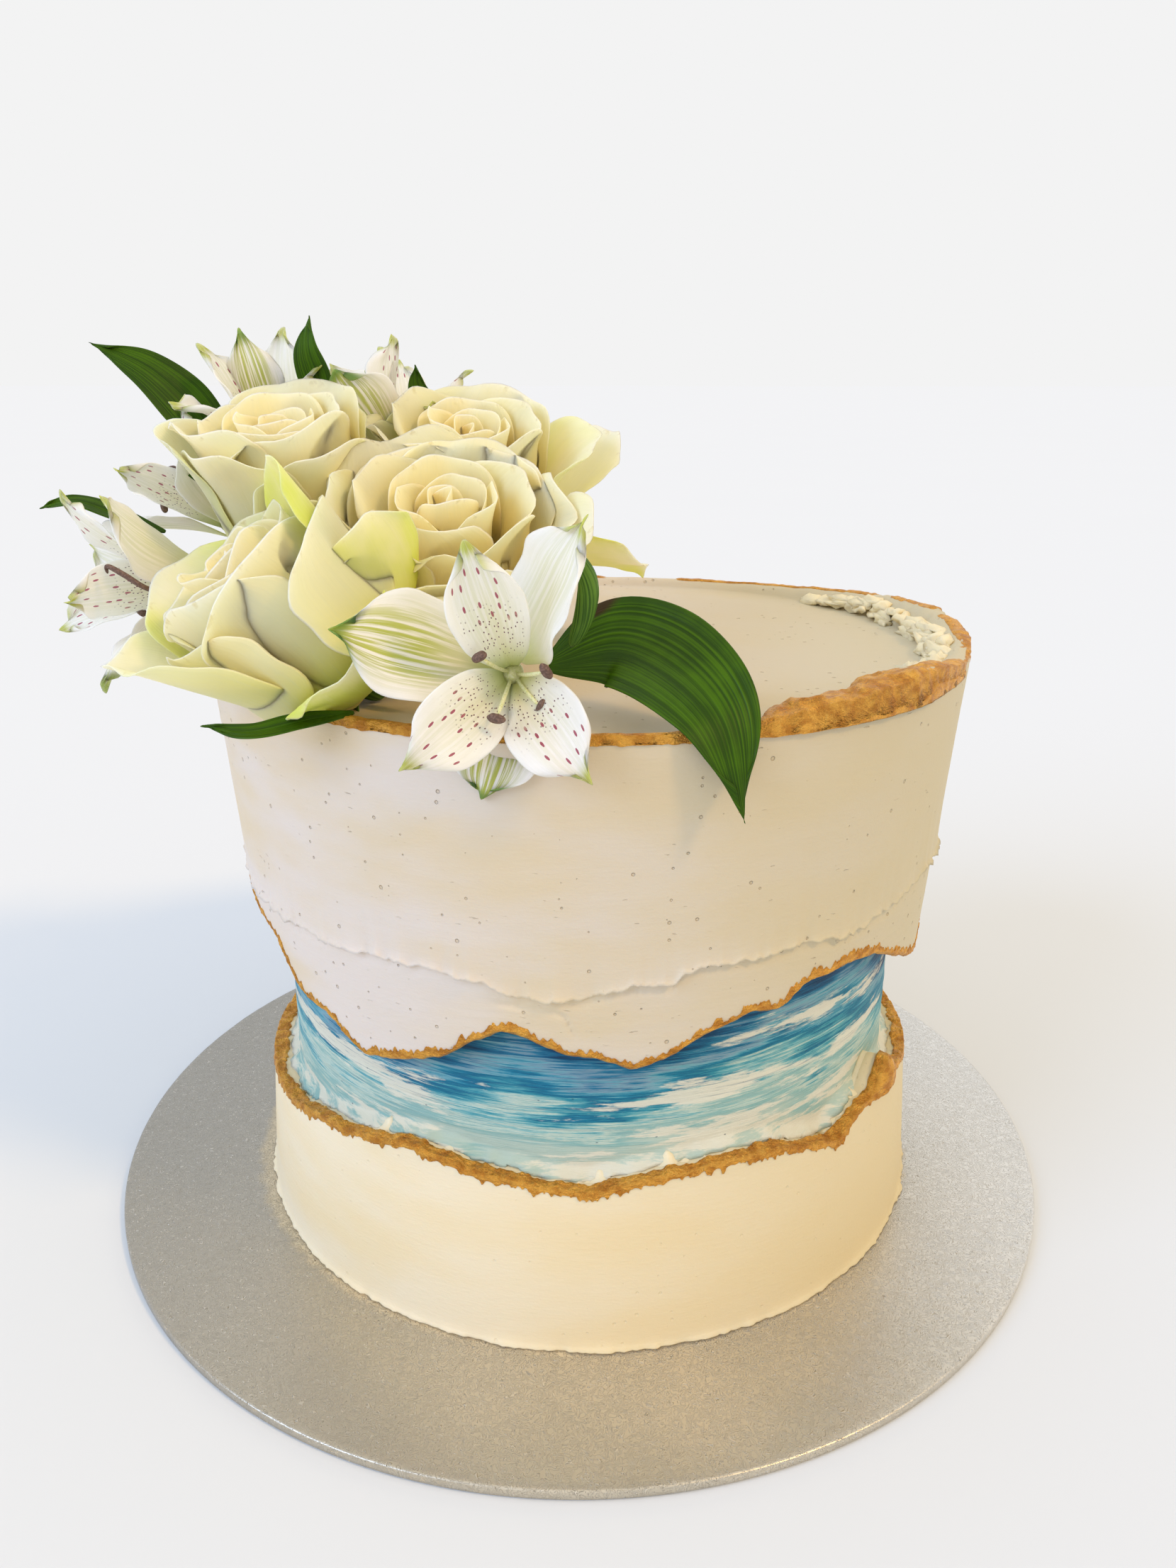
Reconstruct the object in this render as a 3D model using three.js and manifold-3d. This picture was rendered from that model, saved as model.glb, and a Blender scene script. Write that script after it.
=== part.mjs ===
// A fault line cake: two tiers of pale buttercream with a ragged, gold-edged gap between them that shows a
// marbled blue band, a silver cake board, and fresh roses, alstroemerias and leaves on the top's left front.
// Millimetres, +Z up, origin at the centre of the board's underside, -Y towards the viewer.
import * as THREE from "three";
import { mergeVertices } from "three/addons/utils/BufferGeometryUtils.js";
import Module from "manifold-3d";

const wasm = await Module();
wasm.setup();

// ---------------------------------------------------------------- driving dimensions

const GAP = 0.3; // clearance between pieces that touch
const BOARD = { radius: 127, thickness: 2.8, edge: 0.6 };
const CAKE = { x: 2.5, y: -2.6, core: 80, foot: BOARD.thickness + GAP, top: 144.6, capThickness: 5 };
const UPPER = { rimRadius: 93.05, rimZ: 147, waistRadius: 86.5, waistZ: 67, lip: 2.2 };
const LOWER = { footRadius: 89.1, waistRadius: 86.5, waistZ: 43, goldDrop: 2.4 };
const STEPS = { board: 72, core: 60, icing: 90 };
const ROSE_GRID = { rows: 3, columns: 3 };
const TEPAL_GRID = { rows: 3, columns: 2 };
const LEAF_GRID = { rows: 8, columns: 2 };
const ROSE_SIDES = 16;
const CLEARANCE = 0.6; // added to each face of a flower when it is cut out of its neighbours
const SIMPLIFY = 0.2; // how far a cut edge may be straightened
const STALK = { radius: 1.5, sides: 5, middle: [-48, -18], lean: 0.45 }; // stalks lean in towards the middle

// Height of the upper tier's torn lower edge: [angle from the front in degrees, + to the right, millimetres].
const UPPER_EDGE = [
  [-66, 88], [-56, 86], [-50, 76], [-41, 73], [-35, 67], [-20, 74], [-12, 83], [-4, 78], [7, 73.5], [15, 80],
  [22, 84], [27, 82.5], [31, 88], [46, 88], [54, 82], [64, 75], [80, 75], [100, 82], [120, 87], [145, 79],
  [170, 74], [195, 78], [215, 86], [235, 83], [255, 89], [275, 91],
];
// Height of the line where the gold of the lower tier's torn upper edge ends on its wall.
const LOWER_EDGE = [
  [-75, 35.5], [-60, 36.5], [-51, 39.5], [-38, 43], [-27, 46], [-11, 42], [0, 40.5], [8, 43], [20, 45],
  [30, 43.5], [42, 38], [48, 42], [58, 44.5], [72, 38], [95, 36], [120, 41], [150, 45], [180, 40], [210, 43],
  [240, 37], [265, 34.5],
];
// Height of the top rim, and the radius where its inner foot meets the top: a torn collar at the right back.
const RIM_TOP = [
  [-90, 147], [19, 147], [24, 149], [38, 150], [50, 152], [58, 150], [66, 149], [83, 150.5], [100, 151.5],
  [120, 149.8], [135, 148], [150, 147], [210, 147],
];
const RIM_FOOT = [
  [-90, 89.6], [19, 89.6], [25, 82.5], [52, 80.5], [62, 84], [72, 86], [92, 85], [125, 87.5], [150, 89.6],
];
// The lump of gold on the lower tier's ledge: angles, and how far it rises and stands out.
const LUMP = { from: 50, to: 63, rise: 5.5, out: 2.4 };

const MATERIALS = {
  foil: { color: "#b9babb", roughness: 0.35, metalness: 0.9 },
  icing: { color: "#e6dccb", roughness: 0.7, metalness: 0 },
  blue: { color: "#4f97b4", roughness: 0.6, metalness: 0 },
  rose: { color: "#efeccb", roughness: 0.6, metalness: 0 },
  alstroemeria: { color: "#f1f0e6", roughness: 0.55, metalness: 0 },
  leaf: { color: "#2f5a1a", roughness: 0.5, metalness: 0 },
};

// A flower stands at `at`, opens along `axis` and is turned about it. Its outer petals or tepals are listed by
// azimuth, with their lean away from the axis in degrees at the base, the middle and the tip.
const ROSES = {
  rose_front_left: {
    at: [-43.5, -62, 149], axis: [-0.68, -0.2, 0.7], length: 44, belly: 0.47,
    petals: [
      { azimuth: 262, length: 33, width: 60, lean: [82, 10, -14], cup: 64 },
      { azimuth: 200, length: 50, width: 46, lean: [64, 22, 26], cup: 50 },
      { azimuth: 236, length: 45, width: 50, lean: [72, 4, -6], cup: 60 },
      { azimuth: 292, length: 27, width: 36, lean: [90, 52, 70], cup: 50 },
      { azimuth: 26, length: 49, width: 38, lean: [56, 12, 6], cup: 46 },
      { azimuth: 345, length: 36, width: 28, lean: [82, 34, 16], cup: 44, twist: 35 },
    ],
  },
  rose_centre: {
    at: [-29, -28, 152], axis: [0.03, -0.46, 0.88], length: 43, belly: 0.5,
    petals: [
      { azimuth: 198, length: 49, width: 46, lean: [74, 10, 20], cup: 50 },
      { azimuth: 268, length: 49, width: 54, lean: [74, 12, 84], cup: 58 },
      { azimuth: 332, length: 49, width: 46, lean: [74, 14, 66], cup: 52 },
      { azimuth: 52, length: 43, width: 44, lean: [66, 6, 44], cup: 54 },
      { azimuth: 128, length: 43, width: 44, lean: [66, 6, 40], cup: 54 },
    ],
  },
  rose_back_left: {
    at: [-65, -14, 165], axis: [-0.1, -0.27, 0.96], length: 41, belly: 0.38,
    petals: [
      { azimuth: 182, length: 45, width: 34, lean: [62, 14, 34], cup: 48 },
      { azimuth: 245, length: 43, width: 36, lean: [68, 10, 34], cup: 52 },
      { azimuth: 310, length: 40, width: 36, lean: [68, 10, 38], cup: 52 },
    ],
  },
  rose_back_right: {
    at: [-28, 7, 166], axis: [0.04, -0.36, 0.93], length: 40, belly: 0.42,
    petals: [
      { azimuth: 2, length: 44, width: 36, lean: [68, 22, 60], cup: 46 },
      { azimuth: 338, length: 44, width: 32, lean: [86, 74, 84], cup: 26, twist: 40 },
      { azimuth: 22, length: 46, width: 28, lean: [82, 40, 50], cup: 36 },
      { azimuth: 190, length: 40, width: 34, lean: [64, 10, 40], cup: 50 },
      { azimuth: 270, length: 38, width: 36, lean: [72, 10, 44], cup: 54 },
    ],
  },
};

const OPEN_TEPALS = [
  { azimuth: 30, reach: 0.96, lean: [24, 40, 72] },
  { azimuth: 150, reach: 0.96, lean: [24, 40, 72] },
  { azimuth: 270, reach: 0.96, lean: [24, 40, 72] },
  { azimuth: 90, reach: 1, lean: [16, 26, 56], inner: true },
  { azimuth: 212, reach: 1, lean: [16, 26, 56], inner: true },
  { azimuth: 328, reach: 1, lean: [16, 26, 56], inner: true },
];
const ALSTROEMERIAS = {
  alstroemeria_front: {
    at: [-12.6, -77, 154.5], axis: [0.02, -0.98, 0.12], length: 38,
    tepals: [
      { azimuth: 66, reach: 1.0, lean: [34, 52, 70], twist: 60 },
      { azimuth: 163, reach: 0.95, lean: [36, 62, 66], twist: -24 },
      { azimuth: 256, reach: 0.74, lean: [20, 44, 140], broad: 0.9 },
      { azimuth: 106, reach: 0.98, lean: [22, 46, 60], inner: true },
      { azimuth: 218, reach: 0.92, lean: [16, 38, 80], inner: true, broad: 1.05 },
      { azimuth: 312, reach: 0.86, lean: [16, 38, 86], inner: true, broad: 1.1 },
    ],
  },
  alstroemeria_left: {
    at: [-86, -22, 163], axis: [-0.85, -0.4, 0.1], length: 36, turn: 75, tepals: OPEN_TEPALS,
  },
  alstroemeria_mid_left: {
    at: [-88, 6, 172], axis: [-0.72, -0.1, 0.68], length: 31, turn: 50, tepals: OPEN_TEPALS,
  },
  alstroemeria_top_left: {
    at: [-77, 18, 185], axis: [-0.1, -0.3, 0.95], length: 35,
    tepals: [
      { azimuth: 176, reach: 0.98, lean: [22, 16, 30], inner: true, broad: 1.4 },
      { azimuth: 62, reach: 0.98, lean: [16, 14, 24], broad: 1.15 },
      { azimuth: 300, reach: 0.8, lean: [26, 34, 50], broad: 1.1 },
      { azimuth: 222, reach: 0.98, lean: [24, 44, 70], inner: true, broad: 1.3 },
      { azimuth: 118, reach: 1.0, lean: [14, 12, 22], broad: 0.75 },
      { azimuth: 340, reach: 0.9, lean: [20, 30, 52], inner: true, broad: 1.2 },
    ],
  },
  alstroemeria_top: {
    at: [-45, 8, 186], axis: [-0.56, 0.2, 0.8], length: 34,
    tepals: [
      { azimuth: 150, reach: 0.98, lean: [20, 12, 16], broad: 1.05 },
      { azimuth: 276, reach: 0.85, lean: [24, 36, 44], broad: 1.15 },
      { azimuth: 30, reach: 0.95, lean: [20, 20, 30], broad: 1.1 },
      { azimuth: 345, reach: 0.9, lean: [22, 34, 50], inner: true, broad: 1.4 },
      { azimuth: 95, reach: 1.0, lean: [16, 12, 18], inner: true, broad: 1.3 },
      { azimuth: 215, reach: 0.85, lean: [20, 26, 36], inner: true, broad: 1.2 },
    ],
  },
  alstroemeria_back: {
    at: [-44, 26, 184], axis: [0.02, -0.1, 0.99], length: 30, turn: 20, tepals: OPEN_TEPALS,
  },
};

// Each leaf follows a curve through four points from stalk to tip, and its upper side looks towards `face`.
const LEAVES = {
  leaf_right: {
    route: [[-6, -72, 155], [10, -74, 159], [25, -91, 151], [30.5, -99.5, 131.5]],
    face: [0.12, -0.8, 0.58],
    width: 23.5,
  },
  leaf_top_left: {
    route: [[-89, 12, 184], [-96, 12, 198], [-107, 11, 210], [-121, 10, 217]],
    face: [0.4, -0.8, 0.5],
    width: 15,
  },
  leaf_front_left: {
    route: [[-43, -81, 147.6], [-52, -85, 147], [-62, -87, 145.4], [-72, -84, 146]],
    face: [-0.2, -0.6, 0.8],
    width: 5,
  },
  leaf_far_left: {
    route: [[-98, -16, 174], [-108, -18, 178], [-117, -20, 181.5], [-125, -21, 180]],
    face: [0, -0.4, 0.9],
    width: 7,
  },
  leaf_mid_left: {
    route: [[-89, -6, 183], [-92, -6, 187], [-95, -5, 190], [-98, -4, 194]],
    face: [0, -0.9, 0.3],
    width: 5,
  },
  leaf_top_upright: {
    route: [[-64, 6, 199], [-64, 5, 207], [-66, 4, 215], [-65, 5, 223]],
    face: [-0.3, -0.9, 0.1],
    width: 9,
  },
  leaf_top_back: {
    route: [[-41, 20, 198], [-41, 20, 203], [-42, 20, 207], [-42, 20, 212]],
    face: [0.3, -0.9, 0.1],
    width: 6,
  },
  leaf_behind: {
    route: [[-44, 30, 152], [-40, 44, 166], [-36, 60, 170], [-34, 74, 160]],
    face: [0.1, 0.5, 0.87],
    width: 19,
  },
  leaf_behind_left: {
    route: [[-66, 24, 150], [-76, 36, 164], [-84, 46, 170], [-92, 56, 166]],
    face: [-0.4, 0.5, 0.8],
    width: 17,
  },
};

// ---------------------------------------------------------------- small helpers

const { degToRad, lerp, clamp, smoothstep } = THREE.MathUtils;

/** The height at an angle in degrees on a closed line through the keys, straight between them. */
function alongKeys(keys, angle) {
  const first = keys[0][0];
  const wrapped = first + THREE.MathUtils.euclideanModulo(angle - first, 360);
  const closed = [...keys, [first + 360, keys[0][1]]];
  const next = closed.findIndex(([at], i) => i > 0 && at >= wrapped);
  const [fromAngle, fromHeight] = closed[next - 1];
  const [toAngle, toHeight] = closed[next];
  return lerp(fromHeight, toHeight, (wrapped - fromAngle) / (toAngle - fromAngle));
}

/** A small steady raggedness round the cake, between about -1 and 1. */
function ragged(angle, phase) {
  const a = degToRad(angle);
  const waves = [[19, 0.5, phase], [43, 0.3, 2.1 * phase], [31, 0.2, -phase]];
  return waves.reduce((sum, [turns, size, start]) => sum + size * Math.sin(turns * a + start), 0);
}

/** One closed solid from three.js geometry. */
function solid(geometry) {
  geometry.deleteAttribute("normal");
  geometry.deleteAttribute("uv");
  const merged = mergeVertices(geometry, 1e-4);
  return new wasm.Manifold(
    new wasm.Mesh({
      numProp: 3,
      vertProperties: new Float32Array(merged.attributes.position.array),
      triVerts: new Uint32Array(merged.index.array),
    }),
  );
}

/** three.js geometry from a solid. */
function geometryOf(shape) {
  const { numProp, numVert, vertProperties, triVerts } = shape.getMesh();
  const position = new Float32Array(numVert * 3);
  for (let i = 0; i < numVert; i++) {
    position.set(vertProperties.subarray(i * numProp, i * numProp + 3), i * 3);
  }
  const geometry = new THREE.BufferGeometry();
  geometry.setAttribute("position", new THREE.BufferAttribute(position, 3));
  geometry.setIndex(new THREE.BufferAttribute(triVerts, 1));
  return geometry;
}

/** The largest body of a shape that a cut left in several. */
function largestBody(shape) {
  return shape.decompose().reduce((best, body) => (body.volume() > best.volume() ? body : best));
}

function indexed(points, faces) {
  const geometry = new THREE.BufferGeometry();
  geometry.setAttribute("position", new THREE.Float32BufferAttribute(points.flat(), 3));
  geometry.setIndex(faces.flat());
  return geometry;
}

/**
 * A body turned about the Z axis whose profile changes with the angle. profileAt(degrees) gives pairs of radius
 * and height that run from the axis at the top, round the outside, to the axis below, or close on themselves.
 */
function turned(steps, profileAt) {
  const points = [];
  const faces = [];
  const count = profileAt(0).length;
  const onAxis = profileAt(0)[0][0] === 0;
  for (let step = 0; step < steps; step++) {
    const angle = (360 * step) / steps;
    for (const [radius, height] of profileAt(angle)) {
      points.push([radius * Math.sin(degToRad(angle)), -radius * Math.cos(degToRad(angle)), height]);
    }
  }
  const at = (step, i) => {
    if (onAxis && (i === 0 || i === count - 1)) return i;
    return (step % steps) * count + (i % count);
  };
  for (let step = 0; step < steps; step++) {
    for (let i = 0; i < (onAxis ? count - 1 : count); i++) {
      const [a, b, c, d] = [at(step, i), at(step, i + 1), at(step + 1, i + 1), at(step + 1, i)];
      if (a !== d) faces.push([a, b, d]);
      if (b !== c) faces.push([b, c, d]);
    }
  }
  return indexed(points, faces);
}

// ---------------------------------------------------------------- board, core and icing

/** The round card board with its turned foil edge. */
function boardGeometry() {
  const { radius, thickness, edge } = BOARD;
  const top = [[0, thickness], [radius - edge, thickness], [radius, thickness - edge]];
  const underside = [[radius, edge], [radius - edge, 0], [0, 0]];
  return turned(STEPS.board, () => [...top, ...underside]);
}

/** The cake itself: it carries the blue band that shows in the gap. */
function coreGeometry() {
  const top = CAKE.top - CAKE.capThickness;
  return turned(STEPS.core, () => [[0, top], [CAKE.core, top], [CAKE.core, CAKE.foot], [0, CAKE.foot]]);
}

/** The upper tier's outer radius, which tapers down to the waist. */
function upperRadius(height) {
  const down = clamp((UPPER.rimZ - height) / (UPPER.rimZ - UPPER.waistZ), 0, 1.1);
  return lerp(UPPER.rimRadius, UPPER.waistRadius, down);
}

/** The lower tier's outer radius. */
function lowerRadius(height) {
  const up = clamp((height - CAKE.foot) / (LOWER.waistZ - CAKE.foot), 0, 1);
  return lerp(LOWER.footRadius, LOWER.waistRadius, up);
}

/** The icing of the upper tier: the top, its rim and torn collar, and the wall down to the torn edge. */
function upperIcingProfile(angle, swell = 0) {
  const edge = alongKeys(UPPER_EDGE, angle) + 0.6 * ragged(angle, 1);
  const rim = alongKeys(RIM_TOP, angle);
  const foot = alongKeys(RIM_FOOT, angle);
  const collar = (rim - UPPER.rimZ) / 5; // 0 on the plain rim, about 1 on the highest part of the collar
  const rimZ = rim + 0.5 * collar * ragged(angle, 2);
  const footRadius = foot + 1.2 * collar * ragged(angle, 3) - swell;
  const wall = UPPER.rimRadius + swell;
  const core = CAKE.core + GAP;
  const under = CAKE.top - CAKE.capThickness + GAP;
  return [
    [0, CAKE.top + swell],
    [footRadius, CAKE.top + swell],
    [lerp(footRadius, wall, 0.45), rimZ + swell],
    [wall - 1, rimZ + 0.2 + swell],
    [wall, UPPER.rimZ - 1.5],
    [upperRadius(115) + swell, 115],
    [upperRadius(edge + 5) + swell, edge + 5],
    [upperRadius(edge) - 0.6 + 0.6 * ragged(angle, 4) + swell, edge],
    [core, edge + UPPER.lip],
    [core, under],
    [0, under],
  ];
}

/** The icing of the lower tier, with its gold ledge and the lump at the right. */
function lowerIcingProfile(angle) {
  const edge = alongKeys(LOWER_EDGE, angle) + LOWER.goldDrop + 0.5 * ragged(angle, 5);
  const lumpPeak = (LUMP.from + LUMP.to) / 2;
  const inLump = smoothstep(angle, LUMP.from, lumpPeak) - smoothstep(angle, lumpPeak, LUMP.to);
  const core = CAKE.core + GAP;
  const radius = lowerRadius(edge);
  return [
    [core, edge - 0.4 + 0.6 * ragged(angle, 6) + LUMP.rise * inLump],
    [lerp(core, radius, 0.6) + LUMP.out * inLump, edge + 0.3 + LUMP.rise * inLump],
    [radius + LUMP.out * inLump, edge],
    [lowerRadius(edge - 4), edge - 4],
    [LOWER.footRadius, CAKE.foot],
    [core, CAKE.foot],
  ];
}

// ---------------------------------------------------------------- petals, tepals and leaves

/**
 * The outline's half width at u, from 0 at the base to 1 at the tip, as a share of the full half width. base is
 * the share at the base, widest is where it is full, and power shapes the tip: 2 is round, 1.2 pointed.
 */
function outline(u, { base, widest, power, blunt }) {
  if (u < widest) return lerp(base, 1, Math.sin((Math.PI / 2) * (u / widest)));
  const v = (u - widest) / (1 - widest);
  return Math.max(blunt, (1 - v ** power) ** (1 / power));
}

/**
 * Frames along a petal that leans out from the flower's Z axis towards +X by the three angles of lean, and is
 * turned about its own middle line by twist degrees.
 */
function leaningFrames(rows, { length, lean, base, twist = 0 }) {
  const frames = [];
  const point = new THREE.Vector3(...base);
  const [atBase, atMiddle, atTip] = lean;
  const leanAt = (u) => degToRad(
    u < 0.5 ? lerp(atBase, atMiddle, smoothstep(u, 0, 0.5)) : lerp(atMiddle, atTip, (2 * u - 1) ** LATE_CURL),
  );
  for (let row = 0; row <= rows; row++) {
    const a = leanAt(row / rows);
    const ahead = new THREE.Vector3(Math.sin(a), 0, Math.cos(a));
    const turn = -degToRad(twist) * smoothstep(row / rows, 0, 0.6);
    frames.push({
      point: point.clone(),
      side: new THREE.Vector3(0, -1, 0).applyAxisAngle(ahead, turn),
      normal: new THREE.Vector3(-Math.cos(a), 0, Math.sin(a)).applyAxisAngle(ahead, turn),
    });
    const next = leanAt((row + 0.5) / rows);
    point.addScaledVector(new THREE.Vector3(Math.sin(next), 0, Math.cos(next)), length / rows);
  }
  return frames;
}

/** Frames along a curve through the route's points, with the upper side turned to face. */
function routeFrames(rows, { route, face }) {
  const curve = new THREE.CatmullRomCurve3(route.map((p) => new THREE.Vector3(...p)), false, "centripetal");
  const up = new THREE.Vector3(...face).normalize();
  return Array.from({ length: rows + 1 }, (_, row) => {
    const tangent = curve.getTangentAt(row / rows);
    const side = new THREE.Vector3().crossVectors(tangent, up).normalize();
    const normal = new THREE.Vector3().crossVectors(side, tangent);
    return { point: curve.getPointAt(row / rows), side, normal };
  });
}

/**
 * A thin closed blade on its frames. cup is half the angle of the arc across it in degrees, at the base and at
 * the tip, and wave the height of its frill. extra is added all round. Both faces are split alike.
 */
function blade(frames, { width, shape, cup, wave, phase }, { rows, columns }, extra) {
  const middle = frames.map(({ point, side, normal }, row) => {
    const u = row / rows;
    const half = (width / 2) * outline(u, shape) + extra;
    const bend = degToRad(lerp(cup[0], cup[1], u));
    const curve = Math.max(1e-3, Math.abs(bend)) / (width / 2);
    const beyond = (row === rows ? extra : 0) - (row === 0 ? extra : 0);
    const end = new THREE.Vector3().crossVectors(normal, side).multiplyScalar(beyond);
    return Array.from({ length: columns + 1 }, (_, column) => {
      const v = (2 * column) / columns - 1;
      const across = Math.sin(v * half * curve) / curve;
      const lift = (Math.sign(bend) * (1 - Math.cos(v * half * curve))) / curve;
      const frill = wave * u * v * v * Math.sin(phase + 5 * u + 2 * v);
      return point.clone().add(end).addScaledVector(side, across).addScaledVector(normal, lift + frill);
    });
  });
  const points = [];
  const normalAt = (row, column) => {
    const along = middle[Math.min(row + 1, rows)][column].clone().sub(middle[Math.max(row - 1, 0)][column]);
    const over = middle[row][Math.min(column + 1, columns)].clone().sub(middle[row][Math.max(column - 1, 0)]);
    return over.cross(along).normalize();
  };
  const halfThickness = BLADE_THICKNESS / 2 + extra;
  for (const offset of [halfThickness, -halfThickness]) {
    middle.forEach((line, row) => line.forEach((point, column) => {
      points.push(point.clone().addScaledVector(normalAt(row, column), offset).toArray());
    }));
  }
  const stride = columns + 1;
  const under = points.length / 2;
  const faces = [];
  for (let row = 0; row < rows; row++) {
    for (let column = 0; column < columns; column++) {
      const a = row * stride + column;
      const [b, c, d] = [a + 1, a + stride + 1, a + stride];
      faces.push([a, b, c], [a, c, d], [under + a, under + c, under + b], [under + a, under + d, under + c]);
    }
  }
  const rim = [];
  for (let column = 0; column < columns; column++) rim.push(column);
  for (let row = 0; row < rows; row++) rim.push(row * stride + columns);
  for (let column = columns; column > 0; column--) rim.push(rows * stride + column);
  for (let row = rows; row > 0; row--) rim.push(row * stride);
  rim.forEach((a, i) => {
    const b = rim[(i + 1) % rim.length];
    faces.push([under + a, under + b, b], [under + a, b, a]);
  });
  return indexed(points, faces);
}

// ---------------------------------------------------------------- flowers

const PETAL = { base: 0.32, widest: 0.66, power: 4, blunt: 0.72 };
const TEPAL = { base: 0.14, widest: 0.64, power: 2, blunt: 0.16 };
const LEAF = { base: 0.16, widest: 0.45, power: 1.35, blunt: 0.06 };
const BLADE_THICKNESS = 0.8;
const LATE_CURL = 1.6; // above 1, a petal keeps most of its outward curl for its tip

/** Puts a flower's own geometry, which opens along +Z, at its place in the bouquet. */
function placed(geometry, { at, axis, turn = 0 }) {
  const up = new THREE.Vector3(0, 0, 1);
  const aim = new THREE.Quaternion().setFromUnitVectors(up, new THREE.Vector3(...axis).normalize());
  const spin = new THREE.Quaternion().setFromAxisAngle(up, degToRad(turn));
  return geometry.applyQuaternion(aim.multiply(spin)).translate(...at);
}

/** A stalk from a flower down to the cake's top, leaning in towards the middle of the bouquet. */
function stalk([x, y, z], extra) {
  const { radius, sides, middle, lean } = STALK;
  const head = new THREE.Vector3(x, y, z);
  const foot = new THREE.Vector3(lerp(x, middle[0], lean), lerp(y, middle[1], lean), CAKE.top + GAP);
  const along = head.clone().sub(foot);
  const upright = new THREE.Vector3(0, 1, 0);
  const turn = new THREE.Quaternion().setFromUnitVectors(upright, along.clone().normalize());
  return new THREE.CylinderGeometry(radius + extra, radius + extra, along.length(), sides)
    .applyQuaternion(turn)
    .translate(...head.add(foot).multiplyScalar(0.5).toArray());
}

/** A round body on the flower's axis, from [radius, height] pairs, top first. */
function roundBody(profile, sides, extra) {
  return turned(sides, () => profile.map(([radius, height], i) => [
    radius === 0 ? 0 : radius + extra,
    height + (i === 0 ? extra : 0) - (i === profile.length - 1 ? extra : 0),
  ]));
}

/**
 * The head of a rose as one body: rings of petals round a tight centre. Each ring is a ridge whose top rises
 * and falls in lobes, one for each petal, above the hollow between it and the next.
 */
function roseHeadProfile(angle, { length, belly }, extra) {
  const a = degToRad(angle);
  const lobes = (petals, phase) => Math.abs(Math.cos((petals * a) / 2 + phase));
  const lip = belly * (1.08 + 0.08 * lobes(5, 0.4));
  const inside = [
    [0, 0.8], [0.07, 0.8], [0.12, 0.7], [0.19, 0.76 + 0.05 * lobes(3, 0)], [0.24, 0.66],
    [0.31, 0.74 + 0.07 * lobes(4, 1)], [0.34, 0.62],
  ];
  const outside = [[lip, 0.68 + 0.12 * lobes(5, 0.4)], [belly, 0.42], [belly, 0.2]];
  const below = [[0.6 * belly, 0.01], [0.07, -0.04], [0.05, -0.14]];
  return [
    ...inside.map(([radius, height]) => [radius * length, height * length + 2 * extra]),
    ...outside.map(([radius, height]) => [radius * length + extra, height * length + extra]),
    ...below.map(([radius, height]) => [radius * length + extra, height * length - extra]),
    [0, -0.14 * length - extra],
  ];
}

/** The pieces of a rose: its head, and the outer petals that stand away from it. */
function rosePieces(rose, extra) {
  const head = turned(ROSE_SIDES, (angle) => roseHeadProfile(angle, rose, extra));
  const petals = rose.petals.map(({ azimuth, length, width, lean, cup, twist }, i) => {
    const frames = leaningFrames(ROSE_GRID.rows, { length, lean, base: [4, 0, 0], twist });
    const spec = { width, shape: PETAL, cup: [cup + 12, cup], wave: 1.5, phase: 1.7 * i };
    return blade(frames, spec, ROSE_GRID, extra).rotateZ(degToRad(azimuth));
  });
  return [head, ...petals];
}

/** The pieces of an alstroemeria: a funnel, three broad outer tepals and three narrower inner ones. */
function alstroemeriaPieces({ length, tepals }, extra) {
  const funnel = [[0, 0.26 * length], [3.4, 0.2 * length], [3, 2], [1.8, -5], [0, -6]];
  const blades = tepals.map(({ azimuth, reach, lean, inner = false, broad = 1, twist }, i) => {
    const base = inner ? [1, 0, 1.5] : [2.4, 0, 0];
    const width = length * (inner ? 0.4 : 0.56) * broad;
    const frames = leaningFrames(TEPAL_GRID.rows, { length: length * reach, lean, base, twist });
    const spec = { width, shape: TEPAL, cup: [50, inner ? 22 : 14], wave: 1, phase: 2.3 * i };
    return blade(frames, spec, TEPAL_GRID, extra).rotateZ(degToRad(azimuth));
  });
  return [roundBody(funnel, 6, extra), ...blades];
}

/** A leaf on its own curve. */
function leafPieces({ route, face, width }, extra) {
  const spec = { width, shape: LEAF, cup: [26, 10], wave: 0.6, phase: 1 };
  return [blade(routeFrames(LEAF_GRID.rows, { route, face }), spec, LEAF_GRID, extra)];
}

/** Joins the pieces into one solid. */
function joined(pieces) {
  return pieces.map(solid).reduce((whole, piece) => whole.add(piece));
}

/** Every flower and leaf, each trimmed where it would cross the cake or one that was placed before it. */
function bouquet(obstacle) {
  const kinds = [
    { specs: ROSES, pieces: rosePieces, material: "rose" },
    { specs: ALSTROEMERIAS, pieces: alstroemeriaPieces, material: "alstroemeria" },
    { specs: LEAVES, pieces: leafPieces, material: "leaf" },
  ];
  const meshes = [];
  let taken = obstacle;
  for (const { specs, pieces, material } of kinds) {
    for (const [name, spec] of Object.entries(specs)) {
      const made = (extra) => {
        const own = pieces(spec, extra).map((piece) => (spec.at ? placed(piece, spec) : piece));
        return joined(spec.at ? [...own, stalk(spec.at, extra)] : own);
      };
      const trimmed = largestBody(made(0).subtract(taken).simplify(SIMPLIFY));
      meshes.push(mesh(name, geometryOf(trimmed), material));
      taken = taken.add(made(CLEARANCE));
    }
  }
  return meshes;
}

// ---------------------------------------------------------------- assembly

function mesh(name, geometry, material) {
  const made = new THREE.Mesh(geometry, new THREE.MeshStandardMaterial(MATERIALS[material]));
  made.name = name;
  return made;
}

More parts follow.
